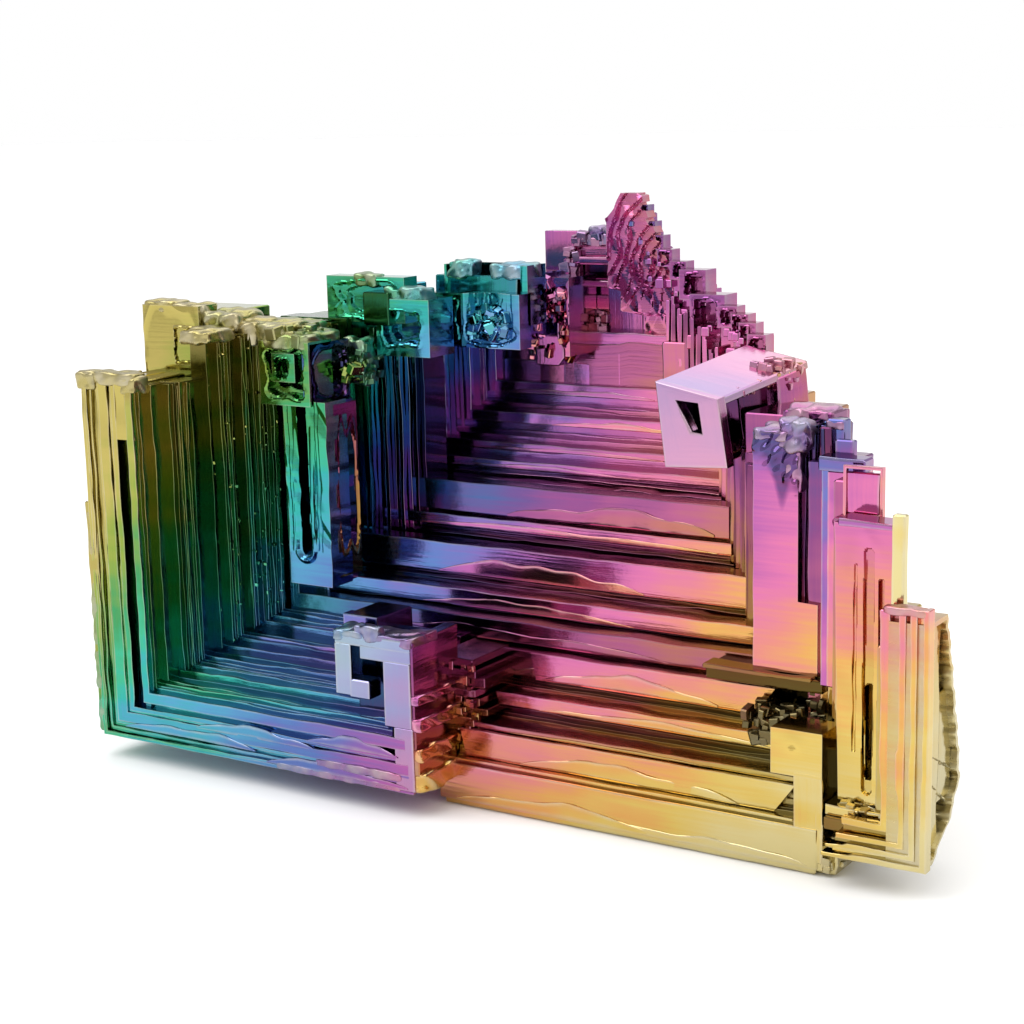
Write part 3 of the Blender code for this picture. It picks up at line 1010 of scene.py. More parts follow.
            # The broken ledges are darkened with painted shade.
            piece.block(
                (-16.5, reach), (1.5 + rng.uniform(-0.4, 0.4), 7.0), (z - 0.7, z), Axis.ACROSS,
                sway=0.06, jump=0.14, spacing=0.4, bevel=0.06, shift=-0.1 - 0.01 * k,
                shade=float(rng.choice([0.5, 0.8])))


@dataclass(frozen=True)
class Face:
    """A tall flat front of a terrace: its depth, the heights of its long edges and its painted shade."""

    depth: float
    low: float
    high: float
    shade: float = 0.0
    start: float = -14.6


@dataclass
class LongLedges:
    """The long ledges that climb into the hollow and turn up into its left and right walls."""

    recess: float = 1.15
    inner_shift: float = 0.035
    front_edge: tuple[Slab, ...] = (
        Slab((-15.6, 15.2), (0.0, 3.0), (0.45, 3.35), -0.11, run=Axis.ACROSS, sway=0.03, bevel=0.1),
        Slab((-15.2, 15.0), (0.2, 4.0), (0.05, 0.7), -0.13, run=Axis.ACROSS, sway=0.03),
        Slab((-15.3, 13.5), (0.45, 3.0), (3.2, 3.55), -0.12, 0.5, run=Axis.ACROSS, sway=0.03),
        Slab((-15.3, 13.3), (0.3, 3.0), (3.5, 3.7), -0.12, run=Axis.ACROSS, sway=0.03),
    )
    low_faces: tuple[Face, ...] = (
        Face(0.9, 3.75, 5.85, 0.0, -14.2),
        Face(3.5, 7.2, 8.2, 0.0, -12.6),
        Face(5.6, 8.85, 10.9, 0.0, -10.8),
    )
    # Faces darkened with painted shade, as they lie in shadow.
    dark_faces: tuple[Face, ...] = (
        Face(1.35, 5.9, 6.3, 0.35, -14.4),
        Face(5.8, 8.9, 10.9, 0.55, -14.9),
    )
    deep_faces: tuple[Face, ...] = (
        Face(6.9, 11.1, 12.7, 0.5),
        Face(8.8, 12.9, 14.2),
        Face(11.3, 14.75, 17.2),
        Face(13.8, 18.0, 18.9),
        Face(14.4, 19.1, 21.6, 0.4),
        Face(18.0, 22.2, 22.9),
        Face(19.6, 23.5, 24.1, 0.15),
        Face(21.6, 25.4, 26.3),
        Face(23.6, 27.6, 28.6, 0.1),
        Face(25.6, 29.6, 30.6),
    )
    low_back: float = 8.6
    inner_start: float = 17.3
    shallow_start: float = 16.4
    right_places: tuple[float, ...] = (8, 13, 17, 22, 27.5)
    right_tops: tuple[float, ...] = (24, 27, 29, 32, 37)

    def build(self, film: Material) -> None:
        """Make the low ledges in front and the terraces behind."""
        grown("low_ledges", 21, film, self.front_edge, self.low)
        self.deep(film)

    def low(self, piece: Growth) -> None:
        """Add the sheets on the front edge, the flat faces above it and the fine ledges in their gaps.

        Args:
            piece: the mesh under construction.
        """
        rng = piece.rng
        piece.tongue((-14.0, 3.0), -0.07, (0.6, 2.4), -0.13)
        piece.tongue((-2.0, 14.6), -0.05, (0.6, 1.9), -0.15)
        for face in self.low_faces + self.dark_faces:
            end = 13.2 if face.depth < 5 else float(right_end(face.depth)) + 0.6
            self.straight_face(piece, face, end)
        for y in np.arange(0.8, self.low_back, 0.27):
            z = float(long_floor(y)) - self.recess + rng.uniform(-0.14, 0.14)
            end = 13.3 if y < 5 else float(right_end(y)) - 0.4
            # The fine ledges in the gaps are darkened with painted shade.
            piece.block(
                (-14.4, end), (y, y + 2.6), (z - 2.6, z), Axis.ACROSS, sway=0.05, jump=0.07,
                bevel=0.03, spacing=1.1, shift=self.low_shift(z) + rng.uniform(-0.03, 0.03),
                shade=rng.uniform(0.6, 0.93))

    def low_shift(self, height: float) -> float:
        """Return how much thinner the film is low down, where the ledges turn gold early."""
        return -0.19 * max(0.0, 1.0 - height / 11.5)

    def straight_face(self, piece: Growth, face: Face, end: float) -> None:
        """Add a flat face with slanting ends, and the thin growth layers that lie on it.

        Args:
            piece: the mesh under construction.
            face: its depth, heights, painted shade and left end.
            end: x of its right end.
        """
        y, low, high = face.depth, face.low, face.high
        slant = 0.75 * (high - low)
        piece.loft(
            [(face.start, y, high), (end, y, high)],
            [(face.start + 0.3 * slant, y, low), (end - slant, y, low)],
            (0.0, 2.4, 0.0), sway=0.03, bevel=0.05, shift=self.low_shift(high), shade=face.shade)
        self.layers(piece, face, face.start + 0.3 * slant, end - slant)

    def layers(self, piece: Growth, face: Face, start: float, end: float) -> None:
        """Lay a thin sheet with a wavy upper edge over part of a face.

        Args:
            piece: the mesh under construction.
            face: its depth and heights.
            start: x of its left end.
            end: x of its right end.
        """
        rng = piece.rng
        left = start + (end - start) * float(rng.uniform(0.0, 0.35))
        right = end - (end - start) * float(rng.uniform(0.0, 0.3))
        piece.tongue(
            (left, right), face.depth - 0.07, (face.low + 0.04, face.high),
            self.low_shift(face.high) + float(rng.uniform(-0.05, 0.02)), face.shade)

    def deep(self, film: Material) -> None:
        """Add the terraces that turn from the left wall into the long ledges and up again.

        Args:
            film: the finish of the terraces.
        """
        groups = (Growth("middle_terraces", 22), Growth("inner_terraces", 23))
        rng = groups[0].rng
        for y in 8.0 + np.cumsum(rng.uniform(0.2, 0.42, 62)):
            piece = groups[0] if y < self.inner_start else groups[1]
            recess = self.recess if y < self.shallow_start else float(rng.choice([0.0, 0.1, 0.25, 0.75]))
            recess += rng.uniform(-0.1, 0.1)
            self.bent(piece, y, float(long_floor(y)) - recess, float(left_wall(y)) - 0.56 * recess, rng)
        for face in self.deep_faces:
            piece = groups[0] if face.depth < self.inner_start else groups[1]
            x = float(left_wall(face.high - 4.0)) - 0.15
            end = float(right_end(face.depth)) + rng.uniform(-0.5, 0.3)
            outer = x - 0.56 * (face.high - face.low)
            top = 33.6 + rng.uniform(-0.8, 0.6)
            piece.loft(
                [(x, face.depth, top), (x, face.depth, face.high), (end, face.depth, face.high)],
                [(outer, face.depth, top), (outer, face.depth, face.low), (end, face.depth, face.low)],
                (0.0, 1.9, 0.0), bevel=0.05, sway=0.04, spacing=0.8,
                shift=self.inner_shift, shade=face.shade)
            self.layers(piece, face, x + 1.0, end)
        for y in np.arange(8.4, 17.0, 0.6):
            x, z = float(left_wall(y)), float(long_floor(y))
            corner = Crust(
                (x - 0.2, x + 1.6), (y - 0.3, y + 0.3), (z - 1.0, z - 0.1), 12, (0.12, 0.5), 0.3, 0.1, 0.2)
            groups[0].crust(corner)
        for piece in groups:
            piece.finish(film)

    def bent(self, piece: Growth, y: float, z: float, x: float, rng: np.random.Generator) -> None:
        """Add one fine terrace: down the left wall, along the ledge and up the right wall.

        Args:
            piece: the mesh under construction.
            y: depth of its front.
            z: height of the ledge.
            x: place of the left wall's edge.
            rng: random numbers.
        """
        end = float(right_end(y)) + rng.uniform(-0.2, 0.2)
        left_top = 33.9 + rng.uniform(-1.2, 0.8)
        right_top = float(np.interp(y, self.right_places, self.right_tops)) + rng.uniform(-0.6, 0.6)
        outer = LEFT + 1.6 + 0.36 * (y - FRONT)
        under = max(0.4 * y, z - 5.0)
        # The terraces are darkened with painted shade, more strongly where they lie recessed.
        piece.loft(
            [(x, y, left_top), (x, y, z), (end, y, z), (end, y, right_top)],
            [(outer, y, left_top), (outer, y, under), (end + 1.4, y, under), (end + 1.4, y, right_top)],
            (0.0, 2.2, 0.0), bevel=0.03, sway=0.06, jump=0.08, spacing=1.0,
            shift=self.inner_shift + rng.uniform(-0.04, 0.04),
            shade=rng.uniform(0.5, 0.9) if y < self.shallow_start else rng.uniform(0.0, 0.6))


@dataclass
class CrestBlocks:
    """The blocks with pits on top of the left wall, and the slotted pole under one of them."""

    blocks: tuple[Slab | Pit, ...] = (
        Pit((-46.5, -40.5), (20.0, 36.2), 4.0, 0.05, 6.2, 1, 0.88, shift=-0.02),
        Pit((-43.2, -40.8), (31.4, 34.6), 3.9, 1.0, 6.0, 2, 0.8, shift=0.0, shade=0.15),
        Slab((-46.2, -39.2), (6.0, 11.4), (5.0, 35.7), 0.0, 0.1),
        Pit((-35.3, -30.3), (28.5, 33.6), 5.0, 1.5, 8.0, 2, 0.68, shift=-0.06),
        Pit((-34.3, -32.0), (30.3, 32.6), 5.35, 1.2, 8.0, 2, 0.6, shift=-0.1, shade=0.1),
        Pit((5.2, 10.2), (28.6, 33.4), -30.3, -0.35, -31.1, 2, 0.8, side=True, shift=-0.3, shade=0.6),
        Slab((-35.0, -30.9), (7.8, 10.3), (28.7, 33.4), 0.0, 0.5),
        Pit((-34.4, -26.6), (34.4, 38.1), 13.0, 0.5, 14.8, 2, 0.74, shift=-0.07),
        Slab((-33.8, -27.6), (14.6, 17.6), (33.2, 37.4), -0.06, 0.1),
        Pit((-29.2, -24.0), (31.8, 36.4), 12.6, 1.3, 16.0, 2, 0.62, shift=-0.05),
        Slab((-30.4, -27.8), (12.5, 14.0), (34.2, 36.9), 0.0, 0.8),
        Pit((-27.0, -23.6), (32.3, 36.6), 16.6, 1.0, 19.5, 3, 0.7, shift=0.05, shade=0.3),
        Pit((-26.2, -18.2), (34.0, 38.8), 18.2, 2.3, 21.0, 2, 0.9, True, shift=0.03, depth_shade=0.9),
        Pit((-24.2, -18.2), (32.2, 36.6), 16.9, 1.1, 18.6, 4, 0.8, True, shift=0.0),
        Slab((-27.3, -19.3), (18.4, 25.3), (32.5, 37.9), 0.0, 0.2),
        Pit((-19.4, -16.4), (31.2, 37.6), 21.6, 1.2, 26.0, 3, 0.75, shift=-0.13, shade=0.2),
        Slab((-19.6, -17.2), (21.4, 27.6), (30.4, 34.0), -0.08, 0.3, sway=0.3, jump=0.3),
        # Blocks behind the pole, darkened with painted shade.
        Slab((-33.1, -29.1), (7.6, 9.0), (14.1, 28.9), 0.0, 0.85),
        Slab((-33.1, -32.3), (6.6, 8.8), (14.1, 28.9), 0.0, 0.5),
        Slab((-29.7, -29.1), (6.6, 8.8), (14.1, 28.9), -0.2, 0.3),
        Pit((6.2, 9.2), (14.6, 28.6), -29.0, -0.25, -30.0, 2, 0.7, side=True, shift=-0.42, shade=0.6),
        Slab((-34.2, -31.6), (8.0, 12.0), (11.0, 31.0), 0.0, 0.6),
    )
    caps: tuple[Lump, ...] = (
        Lump((-46.5, -43.2), (4.0, 6.4), (35.6, 36.5), 0.14),
        Lump((-44.4, -40.4), (4.2, 6.6), (35.4, 36.3), 0.14),
        Lump((-41.6, -37.2), (4.4, 8.4), (33.6, 35.7), 0.22),
        Lump((-39.2, -35.6), (4.8, 9.0), (33.0, 35.1), 0.2, 0.02),
        Lump((-36.6, -33.0), (5.2, 9.6), (33.2, 34.9), 0.2),
        Lump((-35.0, -30.4), (4.9, 9.8), (32.9, 34.2), 0.16, -0.02),
        Lump((-38.6, -33.2), (8.2, 12.6), (32.8, 34.6), 0.18, 0.02),
        Lump((-28.6, -25.0), (12.7, 15.4), (35.9, 37.3), 0.2, -0.06),
        Lump((-31.6, -29.4), (12.9, 14.6), (37.2, 38.3), 0.16, -0.02),
        Lump((-25.9, -23.4), (18.0, 19.6), (37.7, 39.1), 0.2, 0.0),
        Lump((-21.8, -18.2), (18.2, 20.4), (37.7, 38.9), 0.18, 0.0),
    )
    rough: tuple[Lump | Crust, ...] = (
        Lump((-31.2, -29.0), (10.2, 12.4), (29.8, 33.3), 0.3, 0.0),
        Crust((-30.8, -28.4), (10.0, 12.2), (29.8, 32.6), 60, (0.2, 0.7), 0.3, 0.0, 0.3),
        Crust((-33.8, -31.4), (5.2, 8.6), (33.6, 34.3), 26, (0.5, 1.2), 0.2),
    )
    teal: tuple[Crust, ...] = (
        Crust((-23.2, -19.4), (17.0, 18.0), (33.0, 35.4), 150, (0.25, 0.8), 0.5, 0.02),
        Crust((-30.0, -28.6), (8.8, 10.4), (30.2, 31.4), 26, (0.3, 0.8), 0.4, 0.1),
        Crust((-20.4, -16.8), (21.2, 24.0), (31.0, 37.4), 170, (0.25, 0.9), 0.4, -0.2),
        Crust((-31.6, -30.4), (12.2, 12.9), (30.6, 32.0), 24, (0.3, 0.9), 0.4, 0.05),
    )
    pole_sides: Span = (-33.2, -29.0)
    pole_span: Span = (14.0, 28.9)
    pole_face: float = 5.2
    slot_x: float = -31.42
    slot_low: float = 16.9
    slot_half: float = 0.42
    slot_depth: float = 2.2

    def build(self, film: Material, crust: Material) -> None:
        """Make the blocks, the pole, the half-melted caps and the rough growths between them.

        Args:
            film: the finish of the blocks.
            crust: the finish of the caps and the rough growths.
        """
        grown("crest_blocks", 31, film, self.blocks, self.pole, self.ribs)
        grown("crest_crust", 32, crust, self.caps, self.rough)
        grown("teal_crystals", 33, film, self.teal)

    def ribs(self, piece: Growth) -> None:
        """Add the uneven ribs behind the pole.

        Args:
            piece: the mesh under construction.
        """
        for k in range(11):
            x, y = -30.6 + 0.42 * k, 12.9 + 0.4 * (k % 3) + 0.12 * k
            top = 32.4 + piece.rng.uniform(-0.4, 0.4)
            # The ribs are darkened with painted shade, by a random amount each.
            piece.block(
                (x, x + 0.36), (y, y + 3.0), (15.0 + 0.3 * k, top), bevel=0.03,
                shade=float(piece.rng.choice([0.3, 0.6, 0.85])), shift=-0.05)

    def pole(self, piece: Growth) -> None:
        """Add the hanging pole's face, with a bead that follows its slot like a hairpin.

        Args:
            piece: the mesh under construction.
        """

        def front(x: Array, z: Array) -> Array:
            """Return the depth: a deep slot, a raised bead a little way off it, and soft dents.

            Args:
                x: places across the face.
                z: their heights.

            Returns:
                The depth at each place.
            """
            reach = np.hypot(x - self.slot_x, np.maximum(self.slot_low - z, 0))
            slot = np.clip((self.slot_half - reach) / 0.06 + 0.5, 0, 1)
            bead = np.exp(-(((reach - 0.86) / 0.17) ** 2)) * np.clip((27.0 - z) / 4.0, 0, 1)
            groove = np.exp(-(((reach - 1.12) / 0.09) ** 2)) + 0.6 * np.exp(-(((reach - 1.5) / 0.07) ** 2))
            dents = 0.1 * np.sin(1.1 * z + 2.0 * np.sin(0.6 * z + x)) * np.sin(1.9 * x + 0.4 * z)
            calm = np.clip((z - 16.6) / 1.2, 0, 1) * np.clip((30.0 - z) / 2.0, 0, 1)
            raised = 0.12 * groove * calm - 0.32 * bead
            return self.pole_face + self.slot_depth * slot + raised + dents * calm

        left, right = self.pole_sides
        sides = (lambda z: left + 0.02 * np.sin(2.1 * z), lambda z: right + 0.03 * np.sin(1.7 * z))
        # The slot's depths are darkened with painted shade.
        piece.relief(sides, self.pole_span, front, 7.9, (84, 250), shift=-0.04, depth_shade=0.7)


@dataclass
class FarWall:
    """The far wall: crossbars, the square plate and the tall fin."""

    # Crossbars: lower and upper height, how far each is set back, and its painted shade.
    bars: tuple[tuple[float, float, float, float], ...] = (
        (29.0, 31.4, 0.9, 0.5), (31.3, 33.0, 0.4, 0.5), (33.0, 34.7, 1.0, 0.5), (34.6, 35.7, 0.2, 0.0),
        (35.7, 36.6, 0.5, 0.1), (36.5, 37.0, 0.0, 0.0), (37.0, 38.4, 1.1, 0.7), (38.3, 38.9, 0.2, 0.0),
        (38.9, 39.9, 0.8, 0.2), (39.9, 40.7, 0.4, 0.2))
    walls: tuple[Slab, ...] = (
        Slab((-26.0, -9.8), (26.9, 28.6), (16.0, 32.8), 0.06, 0.5, Axis.ACROSS, 0.1),
        Slab((-21.8, -18.5), (26.8, 28.1), (35.0, 41.0), -0.16, bevel=0.06),
        Slab((-15.2, -11.1), (25.9, 28.8), (23.0, 40.0), 0.02, 0.2),
    )
    rough: tuple[Crust | Lump, ...] = (
        Crust((-18.6, -14.6), (26.0, 27.6), (40.0, 40.7), 70, (0.3, 0.9), 0.2, -0.1),
        Crust((-18.4, -15.4), (25.8, 27.0), (32.0, 34.4), 90, (0.3, 0.9), 0.3, -0.1, 0.3),
        Crust((-19.4, -18.2), (25.8, 27.0), (35.4, 39.8), 60, (0.3, 0.9), 0.3, -0.1),
        Lump((-17.0, -14.2), (26.0, 27.8), (40.0, 41.4), 0.24, -0.1),
    )
    tone: float = 0.31
    # The fin's outlines: heights, and the x at each.
    left_edge: tuple[tuple[float, ...], tuple[float, ...]] = (
        (24.0, 29.0, 34.4, 34.7, 36.3, 36.6, 42.2, 43.0, 44.2),
        (-11.2, -11.2, -11.2, -13.4, -13.5, -14.7, -14.7, -13.9, -13.3))
    right_edge: tuple[tuple[float, ...], tuple[float, ...]] = (
        (24.0, 30.0, 36.9, 38.1, 40.9, 43.4, 44.2),
        (-8.0, -8.6, -8.3, -9.0, -10.1, -11.4, -11.5))
    fin_span: Span = (24.0, 44.25)
    fin_face: float = 25.0

    def build(self, film: Material, crust: Material) -> None:
        """Make the bars, the plate and the fin with its slanting growth lines.

        Args:
            film: the finish of the walls and the fin.
            crust: the finish of the rough growths.
        """
        grown("far_wall", 41, film, self.crossbars, self.walls, self.fin)
        grown("far_crust", 42, crust, self.rough)

    def crossbars(self, piece: Growth) -> None:
        """Add the crossbars, all of one magenta.

        Args:
            piece: the mesh under construction.
        """
        for low, high, set_back, shade in self.bars:
            piece.block(
                (-19.0 + 0.4 * set_back, -13.2), (25.9 + set_back, 28.4), (low, high + 0.06), Axis.ACROSS,
                sway=0.07, jump=0.08, spacing=0.4, shift=self.tone - float(film_at(-16.0, 26.5, high)),
                shade=shade, bevel=0.12)

    def fin(self, piece: Growth) -> None:
        """Add the fin: a slab whose front steps along wavy slanting lines.

        Args:
            piece: the mesh under construction.
        """

        def right(z: Array) -> Array:
            """Return the fin's right outline, notched like a stair."""
            notch = 0.16 * np.sign(np.sin(5.2 * z)) * np.clip((z - 34.0) / 2.0, 0, 1)
            return np.interp(z, *self.right_edge) + notch

        def front(x: Array, z: Array) -> Array:
            """Return the fin's depth: scales that rise and drop along curved slanting lines.

            Args:
                x: places across the face.
                z: their heights.

            Returns:
                The depth at each place.
            """
            phase = 0.95 * x - 0.5 * z + 0.5 * np.sin(0.55 * z + 0.7 * x) + 0.2 * np.sin(1.9 * z - 1.3 * x)
            step = phase - np.floor(phase)
            ridge = 0.3 * np.minimum(step, (1 - step) * 9)
            flat = np.clip((z - 33.5) / 4.0, 0.1, 1.0)
            return self.fin_face - ridge * flat + 0.12 * np.sin(0.7 * z) + 0.05 * np.sin(3.0 * x + 2.2 * z)

        def shift(x: Array, z: Array) -> Array:
            """Return the change of film that keeps the fin one magenta, a little redder low down."""
            even = self.tone + 0.02 * np.sin(0.9 * x + 0.5 * z) - film_at(x, self.fin_face, z)
            return even - 0.04 * (z < 34.0)

        sides = (lambda z: np.interp(z, *self.left_edge), right)
        # The fin's dips are darkened with painted shade.
        piece.relief(sides, self.fin_span, front, 26.0, (64, 200), shift=shift, depth_shade=0.35)


@dataclass
class RightCrest:
    """The stair of small hollow cubes from the fin down to the right, and the leaning block."""

    # Hollow cubes: right edge, top, side and depth.
    cubes: tuple[tuple[float, float, float, float], ...] = (
        (-11.0, 43.3, 0.9, 25.2), (-10.3, 42.0, 1.1, 25.1), (-9.5, 40.9, 1.2, 25.0),
        (-8.6, 39.8, 1.4, 24.8), (-7.2, 38.9, 1.5, 24.5), (-5.2, 38.3, 2.4, 24.0),
        (-3.0, 36.5, 3.1, 22.9), (-1.7, 35.7, 1.7, 22.4),
        (-0.4, 35.2, 1.5, 21.7), (0.5, 34.6, 1.5, 21.2), (1.6, 33.8, 1.6, 20.6))
    walls: tuple[Slab, ...] = (
        Slab((-8.6, -1.2), (22.9, 25.6), (20.0, 32.6), -0.02, 0.3),
        Slab((-1.4, 2.3), (21.4, 23.8), (20.0, 30.2), -0.02, 0.3),
        Slab((0.6, 5.3), (17.8, 21.7), (14.0, 29.6), -0.02, 0.3),
    )
    rough: tuple[Crust, ...] = (
        Crust((3.0, 5.0), (17.2, 19.4), (27.6, 31.9), 110, (0.3, 1.1), 0.2, 0.05),
        Crust((2.4, 4.6), (16.4, 19.0), (31.6, 32.1), 40, (0.3, 0.9), 0.2, 0.0),
    )
    front_y: float = 9.9
    rise: Point = (0.25, 1.0, 0.17)
    down: Point = (0.08, 0.0, -0.62)
    aside: Point = (0.9, 0.0, 0.05)
    # Corners of the leaning block's front and of its hole, as x and z.
    front_corners: tuple[Span, ...] = ((-1.45, 25.1), (3.65, 25.4), (2.9, 30.4), (-2.2, 31.4))
    hole_corners: tuple[Span, ...] = ((0.75, 27.9), (1.6, 27.8), (1.25, 30.0), (-0.5, 30.1))
    block_length: float = 9.6

    def build(self, film: Material, pale: Material, crust: Material) -> None:
        """Make the stair, the leaning block and the wall under them.

        Args:
            film: the finish of the cubes and the walls.
            pale: the finish of the leaning block's front.
            crust: the finish of the rough growths.
        """
        grown("right_crest", 51, film, self.stair, self.walls)
        self.leaning_block(film, pale)
        grown("leaning_crust", 54, crust, self.top_edge, self.rough)

    def stair(self, piece: Growth) -> None:
        """Add the hollow cubes, small blocks scattered round each, and the ribs below them.

        Args:
            piece: the mesh under construction.
        """
        rng = piece.rng
        for x, z, size, y in self.cubes:
            back = y + 0.5 * size + 0.6
            piece.pit(Pit((x - size, x), (z - size, z), y, 0.45 * size, back, 2, 0.66, shade=0.25))
            piece.block(
                (x - size + 0.1, x - 0.15), (y + 0.3, y + 1.9), (18.0, z - size + 0.2), jump=0.1, shade=0.2)
            for _ in range(3):
                side = 0.5 * size * rng.uniform(0.5, 1.1)
                x1, z1 = x - size * rng.uniform(0.2, 1.3), z - size * rng.uniform(0.7, 1.6)
                y1 = y - rng.uniform(0.1, 0.6)
                piece.block((x1 - side, x1), (y1, y1 + 1.4), (z1 - side, z1), bevel=0.05, sway=0.02)
        for k in range(22):
            x, y = -8.6 + 0.36 * k, 23.6 - 0.16 * k + 0.3 * (k % 2)
            top = 36.2 - 0.26 * k + rng.uniform(-0.5, 0.5)
            piece.block(
                (x, x + 0.3), (y, y + 1.8), (22.0, top), bevel=0.03, shade=float(rng.choice([0.0, 0.5])))

    def top_edge(self, piece: Growth) -> None:
        """Add the broken edge along the leaning block's top.

        Args:
            piece: the mesh under construction.
        """
        for k in range(9):
            x, y, z = 2.3 + 0.27 * k, self.front_y + 0.6 + 1.0 * k, 29.9 + 0.18 * k
            piece.crust(Crust((x, x + 0.5), (y, y + 0.8), (z, z + 0.4), 9, (0.2, 0.7), 0.3, -0.1))

    def leaning_block(self, film: Material, pale: Material) -> None:
        """Make the leaning block: a hollow box, open to the right, that rises towards its back.

        Args:
            film: the finish of its sides and its hollow.
            pale: the finish of its front and its top.
        """
        rise, down, aside = (np.array(way) for way in (self.rise, self.down, self.aside))
        front = [np.array([x, self.front_y, z]) for x, z in self.front_corners]
        hole = [np.array([x, self.front_y, z]) for x, z in self.hole_corners]
        low_left, low_right, top_right, top_left = front
        start, long = 0.4 * rise, self.block_length * rise
        piece = Growth("leaning_block_front", 55)
        piece.loft(hole, front, 0.8 * rise, closed=True, shift=-0.08, bevel=0.1)
        piece.loft(
            [top_left + start, top_right + start],
            [top_left + down + start, top_right + down + start],
            long, shift=-0.03, bevel=0.1, sway=0.05)
        piece.finish(pale)
        piece = Growth("leaning_block", 53)
        piece.loft(
            [low_left - down + start, low_right - down - aside + start],
            [low_left + start, low_right - aside + start],
            long, shift=-0.13, shade=0.3)
        # The inner side wall is darkened with painted shade.
        piece.loft(
            [top_left + down + aside + start, low_left + aside + start],
            [top_left + down + start, low_left + start],
            long, shade=0.85)
        far = top_right + 6.4 * rise
        near = far - 3.0 * rise
        piece.loft(
            [far + 0.5 * down, far + 6.5 * down],
            [far - 2.4 * aside + 0.5 * down, far - 2.6 * aside + 6 * down],
            3.2 * rise, sway=0.12, shift=0.05, shade=0.15)
        # The rear inner block is darkened with painted shade.
        piece.loft(
            [near - aside + down, near - 1.2 * aside + 6.5 * down],
            [near - 3 * aside + down, near - 3 * aside + 6 * down],
            3.0 * rise, sway=0.2, shade=0.85)
        piece.finish(film)


